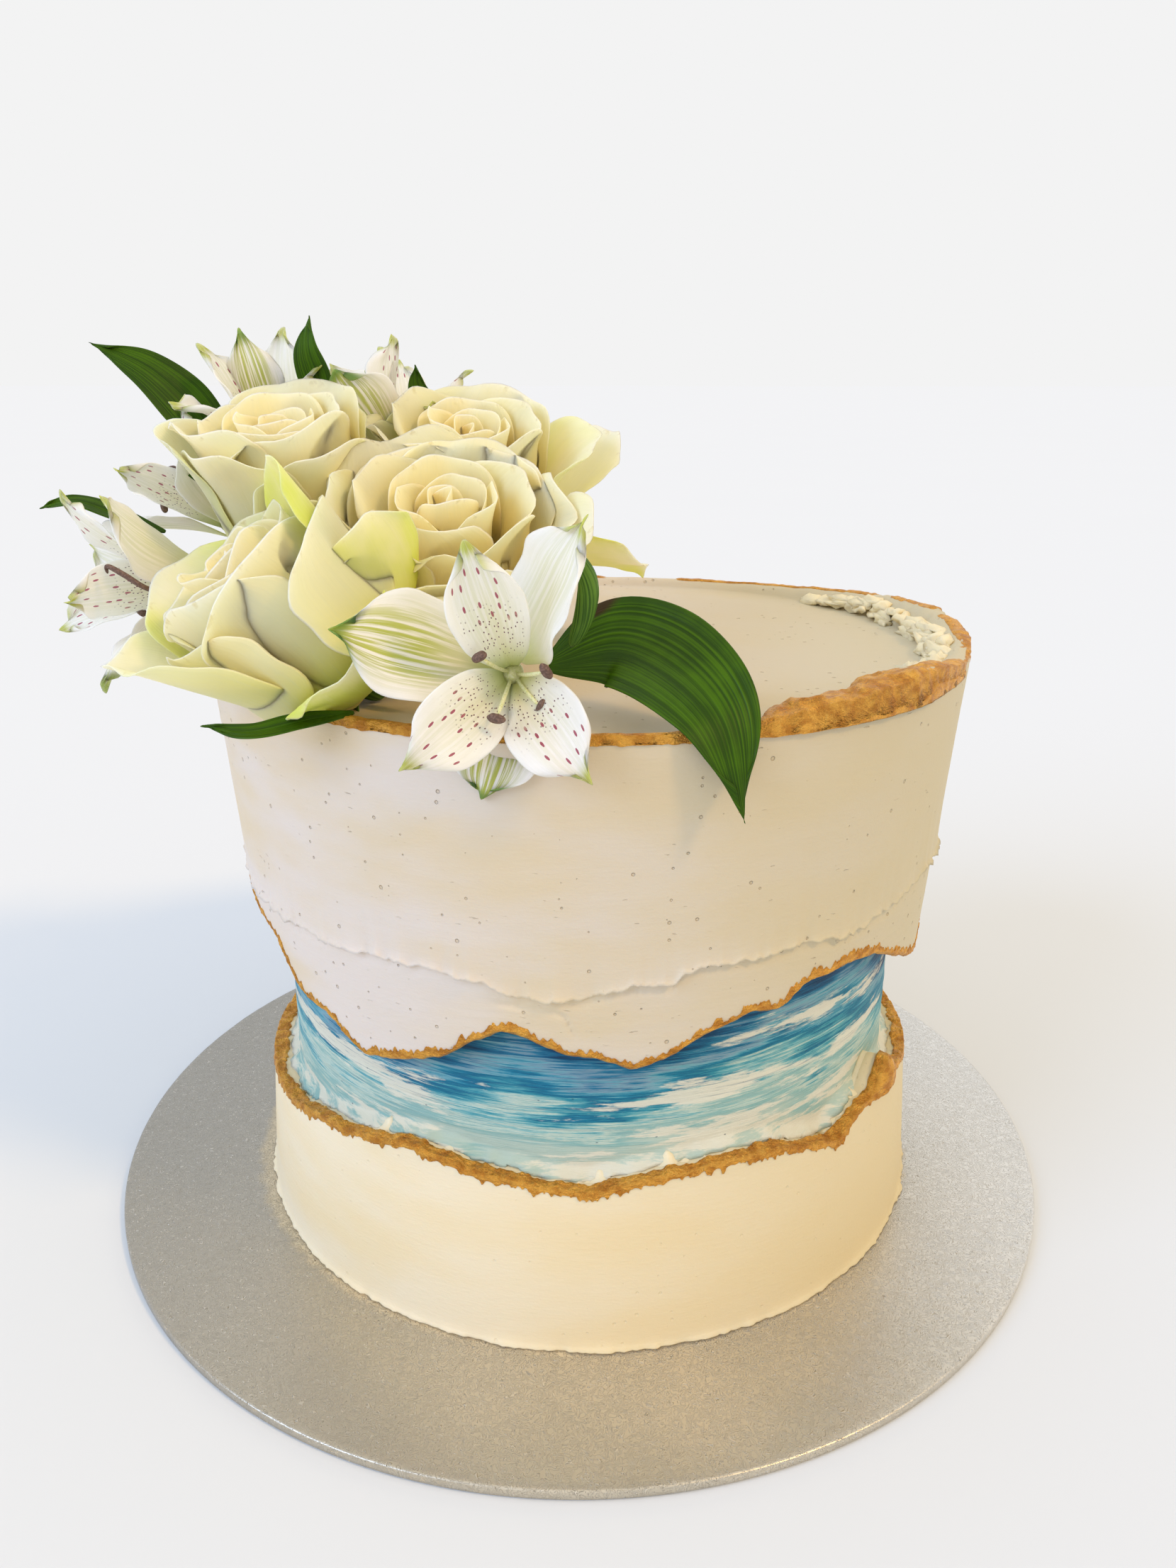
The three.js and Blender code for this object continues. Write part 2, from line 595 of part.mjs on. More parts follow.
const cake = new THREE.Group();
cake.position.set(CAKE.x, CAKE.y, 0);
cake.add(
  mesh("cake_core", coreGeometry(), "blue"),
  mesh("lower_icing", turned(STEPS.icing, lowerIcingProfile), "icing"),
  mesh("upper_icing", turned(STEPS.icing, (angle) => upperIcingProfile(angle)), "icing"),
);

const icingSpace = turned(STEPS.icing, (angle) => upperIcingProfile(angle, GAP));
icingSpace.translate(CAKE.x, CAKE.y, 0);
const flowers = new THREE.Group();
flowers.add(...bouquet(solid(icingSpace)));

const faultLineCake = new THREE.Group();
faultLineCake.add(mesh("board", boardGeometry(), "foil"), cake, flowers);

export default faultLineCake;
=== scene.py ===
"""Fault line cake: two tiers of pale buttercream round a torn, gold-edged gap that shows a marbled blue band.

The cake stands on a silver foil board and carries white roses, white alstroemerias and leaves on the left front
of its top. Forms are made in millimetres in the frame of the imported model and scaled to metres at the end.
"""

import logging
import math
import random
from dataclasses import dataclass, field
from enum import Enum
from typing import Callable, Optional, Sequence

import bmesh
import bpy
from mathutils import Matrix, Vector, noise


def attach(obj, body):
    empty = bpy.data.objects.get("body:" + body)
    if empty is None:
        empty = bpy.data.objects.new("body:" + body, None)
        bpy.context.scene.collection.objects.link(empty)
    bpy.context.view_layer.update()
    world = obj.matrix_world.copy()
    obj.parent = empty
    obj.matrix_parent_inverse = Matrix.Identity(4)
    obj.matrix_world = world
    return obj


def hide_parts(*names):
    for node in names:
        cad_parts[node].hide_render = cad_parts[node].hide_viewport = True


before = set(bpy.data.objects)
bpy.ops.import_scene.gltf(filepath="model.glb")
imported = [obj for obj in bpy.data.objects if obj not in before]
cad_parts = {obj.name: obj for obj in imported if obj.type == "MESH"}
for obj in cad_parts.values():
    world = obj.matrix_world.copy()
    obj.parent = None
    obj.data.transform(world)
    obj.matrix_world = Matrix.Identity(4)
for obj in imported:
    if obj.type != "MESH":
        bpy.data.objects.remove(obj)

LOG = logging.getLogger("fault_line_cake")
MM = 0.001
# Where the cake's axis stands on the board, and the radius of its sponge and of the icing's inner skin.
CENTRE = (2.5, -2.6)
CORE = 80.0
ICING_CORE = 80.3
# The underside of the cake and its icing, just over the board.
FOOT = 3.1
# How far above the end of its gold the lower tier's torn edge lies.
GOLD_DROP = 2.4
# How deep under the icing's skin the gold's border is tucked, and how thin the gold gets at least.
TUCK = -0.35
THIN_GOLD = 0.12
# Where the stalks go into the top.
STALK_FOOT = (-48.0, -18.0, 144.9)
# Half a stalk's width, and how far it leans in towards where they meet.
STALK_RADIUS = 1.5
STALK_LEAN = 0.45
# Quads across and along a rose's petal, a sepal and a tepal.
PETAL_GRID, SEPAL_GRID, TEPAL_GRID = (8, 12), (4, 7), (8, 14)
# Which of a bloom's materials its parts have; petals and tepals have the first.
GREEN_COAT, FILAMENT_COAT, ANTHER_COAT = 1, 2, 3
# Degrees from one petal of a rose's heart to the next.
GOLDEN_ANGLE = 137.5
# The pale paper under and behind the cake, and the half width of the floor in metres.
BACKDROP = "#f3f3f3"
FLOOR_REACH = 60.0

Keys = Sequence[tuple[float, float]]
Place = Callable[[float, float], Vector]
Paint = Callable[[float, float], dict[str, float]]


class Slot(Enum):
    """The material slots of the part's record."""

    FOIL = "foil"
    BLUE_ICING = "blue_icing"
    ICING = "icing"
    ROSE = "rose"
    ALSTROEMERIA = "alstroemeria"
    LEAF = "leaf"


# ---------------------------------------------------------------- shapes of the torn edges

# Height of the upper tier's torn lower edge: (degrees from the front, + to the right, millimetres).
UPPER_EDGE: Keys = (
    (-66, 88), (-56, 86), (-50, 76), (-41, 73), (-35, 67), (-20, 74), (-12, 83), (-4, 78), (7, 73.5), (15, 80),
    (22, 84), (27, 82.5), (31, 88), (46, 88), (54, 82), (64, 75), (80, 75), (100, 82), (120, 87), (145, 79),
    (170, 74), (195, 78), (215, 86), (235, 83), (255, 89), (275, 91),
)
# Height of the line where the gold of the lower tier's torn upper edge ends on its wall.
LOWER_EDGE: Keys = (
    (-75, 35.5), (-60, 36.5), (-51, 39.5), (-38, 43), (-27, 46), (-11, 42), (0, 40.5), (8, 43), (20, 45),
    (30, 43.5), (42, 38), (48, 42), (58, 44.5), (72, 38), (95, 36), (120, 41), (150, 45), (180, 40), (210, 43),
    (240, 37), (265, 34.5),
)
# Height of the top rim, and the radius of its inner foot: a torn collar stands at the right back.
RIM_TOP: Keys = (
    (-90, 147), (19, 147), (24, 149), (38, 150), (50, 152), (58, 150), (66, 149), (83, 150.5), (100, 151.5),
    (120, 149.8), (135, 148), (150, 147), (210, 147),
)
RIM_FOOT: Keys = (
    (-90, 89.6), (19, 89.6), (25, 82.5), (52, 80.5), (62, 84), (72, 86), (92, 85), (125, 87.5), (150, 89.6),
)
# The overlap where the last stroke of the scraper stopped: a thin torn lip across the upper wall.
RIDGE: Keys = (
    (-180, 99), (-120, 97), (-60, 95), (-39, 94.2), (-31, 94.9), (-22, 95), (-14, 93.6), (-11, 91), (-3, 90.6),
    (2, 92.8), (11, 94.6), (12.5, 97), (21, 97.2), (30, 98), (38, 96.4), (60, 101), (110, 98),
)
# A short crack that runs down from that lip at the middle of the front.
CRACK: Keys = ((-14, 90), (-11.7, 88.7), (-6.8, 88.1), (-3.4, 86.8), (-2.4, 82), (0, 81))
# The rim's section: shares of the way inward from the wall and up from the top.
RIM_ARC = (
    (0.0, 0.45), (0.05, 0.8), (0.14, 0.98), (0.3, 1.0), (0.5, 0.96), (0.68, 0.74), (0.82, 0.45), (0.93, 0.18),
    (1.0, 0.0),
)
# How far down the outer wall the gold of the rim reaches.
RIM_GOLD: Keys = (
    (-90, 1.2), (-60, 2), (-30, 1.2), (-12, 1.1), (18, 1.2), (22, 2.2), (27, 3.6), (34, 2.6), (41, 3), (46, 3.8),
    (50, 2.8), (58, 2.2), (64, 2), (72, 1.8), (90, 1.8), (120, 1.6), (150, 1.4), (200, 1.2), (240, 1.4),
)


def lerp(start: float, end: float, share: float) -> float:
    """The value at a share of the way from start to end."""
    return start + (end - start) * share


def clamp(value: float, low: float = 0.0, high: float = 1.0) -> float:
    """The value kept between low and high."""
    return max(low, min(high, value))


def smooth(value: float, low: float = 0.0, high: float = 1.0) -> float:
    """A soft step from 0 at low to 1 at high."""
    share = clamp((value - low) / (high - low))
    return share * share * (3 - 2 * share)


def bell(value: float, middle: float, width: float) -> float:
    """A hump of height 1 at the middle that fades over the width."""
    return math.exp(-(((value - middle) / width) ** 2))


def between(keys: Keys, angle: float) -> float:
    """The value at an angle on a closed line through the keys, straight between them.

    Args:
        keys: pairs of angle in degrees and value, in rising order.
        angle: degrees from the front, + to the right.

    Returns:
        The value at the angle.
    """
    first = keys[0][0]
    wrapped = first + (angle - first) % 360
    closed = (*keys, (first + 360, keys[0][1]))
    for (from_angle, start), (to_angle, end) in zip(closed, closed[1:]):
        if wrapped <= to_angle:
            return lerp(start, end, (wrapped - from_angle) / (to_angle - from_angle))
    return closed[-1][1]


def along(keys: Keys, angle: float, soften: float = 1.3) -> float:
    """The value at an angle on the line through the keys with its corners rounded off."""
    return sum(between(keys, angle + soften * step) for step in (-1, -0.5, 0, 0.5, 1)) / 5


def fuzz(x: float, y: float, z: float = 0.0) -> float:
    """Smooth noise between about -1 and 1."""
    return noise.noise(Vector((x, y, z)))


def round_about(angle: float, size: float, seed: float, height: float = 0.0) -> float:
    """Noise that closes on itself round the cake.

    Args:
        angle: degrees from the front.
        size: width of a lump along the wall, in millimetres.
        seed: picks the pattern.
        height: millimetres, for noise that also changes up the wall.

    Returns:
        A value between about -1 and 1.
    """
    turn = math.radians(angle)
    reach = 90 / size
    return fuzz(reach * math.cos(turn) + seed, reach * math.sin(turn) - seed, height / size + 3.7 * seed)


def lumps(angle: float, *layers: tuple[float, float, float], height: float = 0.0) -> float:
    """Layers of noise round the cake, each with its strength, the width of its lumps and its seed."""
    return sum(strength * round_about(angle, size, seed, height) for strength, size, seed in layers)


def around(angle: float, reach: float, height: float) -> float:
    """Noise on a circle of the given reach and height, which closes on itself."""
    turn = math.radians(angle)
    return fuzz(reach * math.cos(turn), reach * math.sin(turn), height)


def on_cake(angle: float, radius: float, height: float) -> Vector:
    """The point at an angle, radius and height about the cake's axis."""
    turn = math.radians(angle)
    return Vector((CENTRE[0] + radius * math.sin(turn), CENTRE[1] - radius * math.cos(turn), height))


def spun(degrees: float) -> Matrix:
    """A turn about the upright axis."""
    return Matrix.Rotation(math.radians(degrees), 4, "Z")


def aimed(axis: Sequence[float]) -> Matrix:
    """The turn that lays the upright axis along another."""
    return Vector((0, 0, 1)).rotation_difference(Vector(axis).normalized()).to_matrix().to_4x4()


def ragged(angle: float, phase: float) -> float:
    """The steady raggedness of the solids' torn edges, between about -1 and 1."""
    turn = math.radians(angle)
    return (
        0.5 * math.sin(19 * turn + phase)
        + 0.3 * math.sin(43 * turn + 2.1 * phase)
        + 0.2 * math.sin(31 * turn - phase)
    )


# ---------------------------------------------------------------- meshes in the making


@dataclass(frozen=True)
class Spot:
    """A point of a ring's profile, with the values painted on it."""

    radius: float
    height: float
    paint: dict[str, float] = field(default_factory=dict)


@dataclass
class Form:
    """A piece's mesh while it is made, in millimetres.

    Attributes:
        name: the name of the finished piece.
        values: names of the numbers painted on its points.
    """

    name: str
    values: tuple[str, ...] = ()

    def __post_init__(self) -> None:
        """Opens an empty mesh with its UV map and painted values."""
        self.mesh = bmesh.new()
        self.mesh.loops.layers.uv.new("UVMap")
        self.layers = {name: self.mesh.verts.layers.float.new(name) for name in self.values}

    def grid(self, columns: int, rows: int, place: Place, paint: Optional[Paint] = None, coat: int = 0) -> list:
        """Adds a sheet of quads and puts each of its points in place.

        Args:
            columns: quads across.
            rows: quads along.
            place: gives the place of the point at shares of the way across and along.
            paint: gives the values to paint there.
            coat: index of the material.

        Returns:
            The new points.
        """
        made = bmesh.ops.create_grid(self.mesh, x_segments=columns, y_segments=rows, size=0.5, calc_uvs=True)
        verts = made["verts"]
        for vert in verts:
            across, up = vert.co.x + 0.5, vert.co.y + 0.5
            for name, value in (paint(across, up) if paint else {}).items():
                vert[self.layers[name]] = value
            vert.co = place(across, up)
        self.dress(verts, coat)
        return verts

    def faces_at(self, verts: list) -> list:
        """The faces at these points, each once and always in the same order."""
        return list(dict.fromkeys(face for vert in verts for face in vert.link_faces))

    def slab(self, verts: list, thickness: float) -> None:
        """Gives a sheet that has just been added a thickness, half to each side, and a rim.

        Args:
            verts: the sheet's points.
            thickness: of the closed sheet.
        """
        faces = self.faces_at(verts)
        bmesh.ops.recalc_face_normals(self.mesh, faces=faces)
        normals = [sum((face.normal for face in vert.link_faces), Vector()).normalized() for vert in verts]
        for vert, normal in zip(verts, normals):
            vert.co -= normal * (thickness / 2)
            vert.normal = normal
        copy = bmesh.ops.extrude_face_region(self.mesh, geom=faces, use_keep_orig=True)["geom"]
        for vert in copy:
            if isinstance(vert, bmesh.types.BMVert):
                vert.co += vert.normal * thickness

    def dress(self, verts: list, coat: int) -> None:
        """Gives the faces at these points a material and smooth shading."""
        for face in self.faces_at(verts):
            face.material_index = coat
            face.smooth = True

    def ring(self, columns: int, profile: Callable[[float], list[Spot]]) -> None:
        """Adds a skin turned about the cake's axis, whose profile changes with the angle.

        Args:
            columns: quads round the axis.
            profile: gives the profile's points at an angle in degrees, always as many.
        """
        lines = [profile(360 * column / columns - 180) for column in range(columns)]
        lines.append(lines[0])
        rows = len(lines[0]) - 1

        def spot(across: float, up: float) -> Spot:
            """The profile's point at shares of the way round and along."""
            return lines[round(across * columns)][round(up * rows)]

        def place(across: float, up: float) -> Vector:
            """Its place round the axis."""
            at = spot(across, up)
            return on_cake(360 * across - 180, at.radius, at.height)

        self.grid(columns, rows, place, lambda across, up: spot(across, up).paint)

    def tube(self, points: Sequence[Vector], radii: Sequence[float], sides: int = 8, coat: int = 0) -> None:
        """Adds a round closed rod along the points, which ends in a point where its radius is 0."""
        def place(across: float, up: float) -> Vector:
            """A point of the rod's skin."""
            row = round(up * (len(points) - 1))
            ahead = points[min(row + 1, len(points) - 1)] - points[max(row - 1, 0)]
            side = ahead.cross(Vector((0.3, 0.5, 0.81))).normalized()
            turn = math.tau * across
            other = ahead.cross(side).normalized()
            return points[row] + radii[row] * (math.cos(turn) * side + math.sin(turn) * other)

        self.grid(sides, len(points) - 1, place, coat=coat)

    def lump(self, at: Vector, size: Vector, rough: float, seed: float, turn: Matrix, coat: int = 0) -> None:
        """Adds a small uneven lump.

        Args:
            at: its middle.
            size: half its width each way.
            rough: how uneven it is, as a share of its size.
            seed: picks its shape.
            turn: how it is turned.
            coat: index of the material.
        """
        verts = bmesh.ops.create_icosphere(self.mesh, subdivisions=2, radius=1.0)["verts"]
        for vert in verts:
            swell = 1 + rough * fuzz(1.3 * vert.co.x + seed, 1.3 * vert.co.y, 1.3 * vert.co.z - seed)
            local = Vector(a * b for a, b in zip(vert.co, size)) * swell
            vert.co = at + turn.to_3x3() @ local
        self.dress(verts, coat)

    def finish(
        self, coats: Sequence[bpy.types.Material], slot: Slot, replaces: Sequence[str] = (), levels: int = 0
    ) -> None:
        """Closes the mesh and makes it a piece of the cake.

        Args:
            coats: its materials, by index.
            slot: the record's material slot; not used.
            replaces: the CAD nodes that it stands for.
            levels: levels of subdivision.
        """
        bmesh.ops.remove_doubles(self.mesh, verts=self.mesh.verts, dist=2e-3)
        bmesh.ops.recalc_face_normals(self.mesh, faces=self.mesh.faces)
        bmesh.ops.scale(self.mesh, vec=(MM, MM, MM), verts=self.mesh.verts)
        mesh = bpy.data.meshes.new(self.name)
        self.mesh.to_mesh(mesh)
        self.mesh.free()
        for coat in coats:
            mesh.materials.append(coat)
        piece = bpy.data.objects.new(self.name, mesh)
        bpy.context.scene.collection.objects.link(piece)
        if levels:
            subdivision = piece.modifiers.new("Smooth", "SUBSURF")
            subdivision.levels = subdivision.render_levels = levels
        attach(piece, "root")
        if replaces:
            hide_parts(*replaces)
        LOG.info("%s: %d faces", self.name, len(mesh.polygons))


def turn_piece(
    name: str,
    columns: int,
    profile: Callable[[float], list[Spot]],
    coat: bpy.types.Material,
    slot: Slot = Slot.ICING,
    replaces: Sequence[str] = (),
    values: tuple[str, ...] = (),
) -> None:
    """Makes a piece that is one skin turned about the cake's axis.

    Args:
        name: the piece's name.
        columns: quads round the axis.
        profile: gives the profile's points at an angle in degrees.
        coat: its material.
        slot: the record's material slot.
        replaces: the CAD nodes that it stands for.
        values: names of the numbers painted on its points.
    """
    form = Form(name, values)
    form.ring(columns, profile)
    form.finish([coat], slot, replaces)


# ---------------------------------------------------------------- finishes


def linear(colour: str) -> tuple[float, float, float, float]:
    """An sRGB hex colour as linear red, green, blue and alpha."""
    parts = [int(colour[i : i + 2], 16) / 255 for i in (1, 3, 5)]
    return (*(c / 12.92 if c <= 0.04045 else ((c + 0.055) / 1.055) ** 2.4 for c in parts), 1.0)


def plug(tree: bpy.types.NodeTree, node: bpy.types.Node, links: dict) -> None:
    """Sets or links a node's inputs.

    Args:
        tree: the material's nodes.
        node: the node.
        links: a value, sRGB colour, node or socket for each input, by the input's name or number.
    """
    for name, value in links.items():
        if isinstance(value, bpy.types.Node):
            value = value.outputs[0]
        if isinstance(value, bpy.types.NodeSocket):
            tree.links.new(value, node.inputs[name])
        else:
            node.inputs[name].default_value = linear(value) if isinstance(value, str) else value


def add(tree: bpy.types.NodeTree, kind: str, settings: Optional[dict] = None, links: Optional[dict] = None):
    """Adds a node to a material.

    Args:
        tree: the material's nodes.
        kind: the node's type, without its "ShaderNode".
        settings: its own settings by name; "stops" are a ramp's places and sRGB colours.
        links: what goes into its inputs.

    Returns:
        The node.
    """
    made = tree.nodes.new("ShaderNode" + kind)
    for name, value in (settings or {}).items():
        if name == "stops":
            ramp = made.color_ramp.elements
            while len(ramp) < len(value):
                ramp.new(0.5)
            for element, (position, colour) in zip(ramp, value):
                element.position, element.color = position, linear(colour)
        else:
            setattr(made, name, value)
    plug(tree, made, links or {})
    return made


@dataclass
class Recipe:
    """A material while it is mixed.

    Attributes:
        name: the real material's common name.
        roughness: 0 for a mirror, 1 for chalk.
    """

    name: str
    roughness: float

    def __post_init__(self) -> None:
        """Opens an empty material with its surface shader."""
        self.material = bpy.data.materials.new(self.name)
        self.material.use_nodes = True
        self.tree = self.material.node_tree
        self.tree.nodes.clear()
        self.surface = add(self.tree, "BsdfPrincipled", links={"Roughness": self.roughness})
        add(self.tree, "OutputMaterial", links={"Surface": self.surface})

    def give(self, links: dict) -> None:
        """Sets or links inputs of the surface."""
        plug(self.tree, self.surface, links)

    def clad(self, colour, relief, strength: float, height: float) -> None:
        """Gives the surface its colour and its fine relief.

        Args:
            colour: the colour.
            relief: the relief, from low to high.
            strength: how strongly the relief shows.
            height: of a relief of 1, in metres.
        """
        bump = add(self.tree, "Bump", links={"Strength": strength, "Distance": height, "Height": relief})
        self.give({"Base Color": colour, "Normal": bump})

    def soften(self, weight: float, radius: tuple[float, float, float], scale: float = 0.05) -> None:
        """Lets light sink in: its share, and how far red, green and blue go, in metres times the scale."""
        self.give({"Subsurface Weight": weight, "Subsurface Radius": radius, "Subsurface Scale": scale})

    def stretched(self, scale: tuple[float, float, float]) -> bpy.types.Node:
        """The piece's own coordinates in millimetres, stretched by the scale."""
        here = add(self.tree, "TexCoord").outputs["Object"]
        return add(self.tree, "Mapping", links={"Vector": here, "Scale": tuple(s / MM for s in scale)})

    def grown(self, scale: tuple[float, float, float]) -> bpy.types.Node:
        """A blade's own coordinates across and along, stretched by the scale."""
        here = add(self.tree, "UVMap", {"uv_map": "UVMap"})
        return add(self.tree, "Mapping", links={"Vector": here, "Scale": scale})

    def cloud(
        self, scale: tuple[float, float, float], detail: float = 2.0, roughness: float = 0.5, distortion: float = 0.0
    ) -> bpy.types.Node:
        """Cloudy noise through the piece.

        Args:
            scale: clouds for each millimetre along each axis.
            detail: how many finer layers it has.
            roughness: how strong they are.
            distortion: how much it is warped.

        Returns:
            The noise, from 0 to 1.
        """
        links = {"Vector": self.stretched(scale), "Scale": 1.0}
        return add(self.tree, "TexNoise", links={
            **links, "Detail": detail, "Roughness": roughness, "Distortion": distortion,
        })

    def veins(self, scale: tuple[float, float, float], detail: float, roughness: float = 0.5) -> bpy.types.Node:
        """Noise drawn out along a blade: so many veins across it and along it, with finer layers."""
        links = {"Vector": self.grown(scale), "Scale": 1.0, "Detail": detail, "Roughness": roughness}
        return add(self.tree, "TexNoise", {"noise_dimensions": "2D"}, links)

    def across(self) -> bpy.types.Node:
        """How far to the right it is, in millimetres."""
        return add(self.tree, "SeparateXYZ", links={0: self.stretched((1.0, 1.0, 1.0))})

    def cells(self, where: bpy.types.Node, settings: Optional[dict] = None, spread: float = 1.0) -> tuple:
        """Scattered points: how far off the nearest is, and a random number that is its own.

        Args:
            where: the coordinates, in which the points lie about 1 apart.
            settings: the texture's own settings.
            spread: 0 for even rows, 1 for no order at all.

        Returns:
            The distance and the random number.
        """
        cells = add(self.tree, "TexVoronoi", settings, {"Vector": where, "Scale": 1.0, "Randomness": spread})
        return cells.outputs["Distance"], add(self.tree, "SeparateColor", links={0: cells.outputs["Color"]})

    def painted(self, name: str) -> bpy.types.NodeSocket:
        """A number painted on the piece's points."""
        return add(self.tree, "Attribute", {"attribute_name": name}).outputs["Fac"]

    def maths(self, operation: str, *numbers, clamped: bool = False) -> bpy.types.Node:
        """A sum on one, two or three numbers."""
        return add(self.tree, "Math", {"operation": operation, "use_clamp": clamped}, dict(enumerate(numbers)))

    def times(self, value, factor, plus=0.0, clamped: bool = False) -> bpy.types.Node:
        """A value times a factor, plus another value."""
        return self.maths("MULTIPLY_ADD", value, factor, plus, clamped=clamped)

    def swung(self, value, factor: float, plus) -> bpy.types.Node:
        """Noise turned to run evenly below and above 0, times a factor, plus another value."""
        return self.times(self.maths("SUBTRACT", value, 0.5), factor, plus)

    def step(self, value, low: float, high: float) -> bpy.types.Node:
        """A soft step from 0 at low to 1 at high."""
        links = {"Value": value, "From Min": low, "From Max": high}
        return add(self.tree, "MapRange", {"interpolation_type": "SMOOTHSTEP"}, links)

    def blend(self, share, first, second, strength: float = 1.0) -> bpy.types.NodeSocket:
        """The second colour laid over the first by a share of the strength."""
        share = share if strength == 1.0 else self.times(share, strength)
        return add(self.tree, "Mix", {"data_type": "RGBA"}, {0: share, 6: first, 7: second}).outputs[2]


@dataclass(frozen=True)
class Finish:
    """What every finish has: a name and a glossy or soft surface.

    Attributes:
        name: the real material's common name.
        roughness: 0 for a mirror, 1 for chalk.
    """

    name: str
    roughness: float

    def fill(self, mix: Recipe) -> None:
        """Adds what is special to the finish: nothing here."""

    def make(self) -> bpy.types.Material:
        """The finished material."""
        mix = Recipe(self.name, self.roughness)
        self.fill(mix)
        return mix.material


@dataclass(frozen=True)
class Buttercream(Finish):
    """Smoothed pale buttercream: soft and matt, light sinks in a little; air pits and short drag marks show.

    Attributes:
        pale: its colour.
        warm: the colour of its thinner and butterier patches.
        pits: how strongly air pits show, 0 for none.
        right_side_shade: its colour towards the right side of the cake, a painted warm shade.
    """

    pale: str = "#dccfc2"
    warm: str = "#dac6a4"
    pits: float = 1.0
    right_side_shade: str = "#c7ba96"

    def fill(self, mix: Recipe) -> None:
        """Spreads patches, air pits and drag marks."""
        patches = mix.cloud((0.02, 0.02, 0.05), 3.0)
        colour = mix.blend(mix.step(patches, 0.35, 0.7), self.pale, self.warm)
        # Painted warm shade: the icing is coloured darker and yellower towards the right side of the cake.
        across = mix.across()
        colour = mix.blend(mix.step(across, -60.0, 110.0), colour, self.right_side_shade)
        # Round air pits of up to a millimetre, one each 3 to 5 mm.
        away, chosen = mix.cells(mix.stretched((0.38, 0.38, 0.38)))
        some = mix.step(mix.cloud((0.045, 0.045, 0.06)), 0.44, 0.58)
        size = mix.times(some, 0.13, 0.06)
        size = mix.times(size, mix.step(chosen, 0.3, 0.9), 0.004)
        near = mix.maths("DIVIDE", away, size)
        pit = mix.times(mix.step(near, 1.0, 0.6), self.pits)
        # Painted shade: each pit's hollow is coloured darker.
        colour = mix.blend(pit, colour, "#ab946c", 0.35)
        # Drag marks 3 to 8 mm long and 0.4 mm high, and the fine grain of beaten buttercream.
        drags = mix.cloud((0.24, 0.24, 1.3), 3.0, roughness=0.6)
        grain = mix.cloud((1.4, 1.4, 1.8))
        torn = mix.times(mix.step(drags, 0.7, 0.76), some)
        relief = mix.times(torn, -0.8 * self.pits, mix.times(drags, 0.14))
        relief = mix.times(grain, 0.08, relief)
        relief = mix.times(pit, -1.4, relief)
        mix.clad(colour, relief, 0.8, 0.0006)
        mix.soften(0.2, (0.004, 0.003, 0.002), 0.6)


@dataclass(frozen=True)
class MarbledButtercream(Finish):
    """Buttercream in blue, aqua and cream dragged round the cake with a palette knife: long level streaks.

    The painted value "level" runs from 0 at the band's lower edge to 1 at its upper edge.
    """

    def fill(self, mix: Recipe) -> None:
        """Drags the streaks, the bare cream and the specks."""
        level = mix.painted("level")
        # Wide patches of 30 to 60 mm shift the colours; streaks are 1 to 3 mm high and run for 20 to 60 mm.
        patches = mix.cloud((0.024, 0.024, 0.06), 3.0, distortion=0.6)
        streaks = mix.cloud((0.022, 0.022, 0.34), 8.0, roughness=0.72, distortion=0.3)
        fine = mix.cloud((0.06, 0.06, 2.4), 6.0, roughness=0.7)
        place = mix.swung(patches, 0.75, level)
        place = mix.swung(streaks, 1.0, place)
        place = mix.swung(fine, 0.55, place)
        stops = (
            (0.0, "#b3c6b8"), (0.1, "#97b9b1"), (0.2, "#86b3ae"), (0.28, "#c3d0bf"), (0.35, "#7db4b4"),
            (0.43, "#338f9e"), (0.52, "#0c6383"), (0.6, "#1a819b"), (0.68, "#6fa9b3"), (0.74, "#7f9caa"),
            (0.82, "#257b98"), (0.91, "#08567d"), (1.0, "#063c5c"),
        )
        colour = add(mix.tree, "ValToRGB", {"stops": stops}, {0: place}).outputs[0]
        # Bare cream showing through where the blue ran out, a little more often low on the band.
        bare = mix.cloud((0.022, 0.022, 0.16), 7.0, roughness=0.68)
        low = mix.maths("SUBTRACT", 1.0, level)
        thin = mix.step(mix.times(low, 0.1, bare), 0.6, 0.66)
        colour = mix.blend(thin, colour, "#dfdbc6", 0.9)
        # Thin dark lines where the knife's edge dug in.
        cut = mix.cloud((0.04, 0.04, 1.5), 6.0, roughness=0.7)
        dug = mix.times(mix.step(cut, 0.54, 0.64), mix.step(level, 0.05, 0.6))
        colour = mix.blend(dug, colour, "#1c5c7c", 0.6)
        # Specks of undissolved blue, under a millimetre.
        away, _ = mix.cells(mix.stretched((0.2, 0.2, 0.35)))
        speck = mix.maths("LESS_THAN", away, 0.055)
        colour = mix.blend(speck, colour, "#28465a", 0.6)
        relief = mix.times(fine, 0.7, streaks)
        mix.clad(colour, relief, 0.6, 0.0006)
        mix.soften(0.12, (0.003, 0.003, 0.003), 0.5)
        mix.give({"Specular IOR Level": 0.25})


@dataclass(frozen=True)
class GoldPaint(Finish):
    """Edible gold paint brushed on rough icing: a warm satin metal with brush streaks and bright points."""

    bright: str = "#edb04a"
    deep: str = "#c07e2a"

    def fill(self, mix: Recipe) -> None:
        """Brushes on deep and bright gold."""
        blots = mix.cloud((0.3, 0.3, 0.5), 5.0, roughness=0.6)
        grain = mix.cloud((1.1, 1.1, 1.5), 4.0, roughness=0.65)
        colour = mix.blend(mix.step(blots, 0.32, 0.68), self.deep, self.bright)
        spread = {"From Min": 0.3, "From Max": 0.7, "To Min": self.roughness - 0.12, "To Max": self.roughness + 0.14}
        rough = add(mix.tree, "MapRange", links={"Value": grain, **spread})
        relief = mix.times(blots, 0.8, grain)
        mix.clad(colour, relief, 1.0, 0.0011)
        mix.give({"Roughness": rough, "Metallic": 0.65})


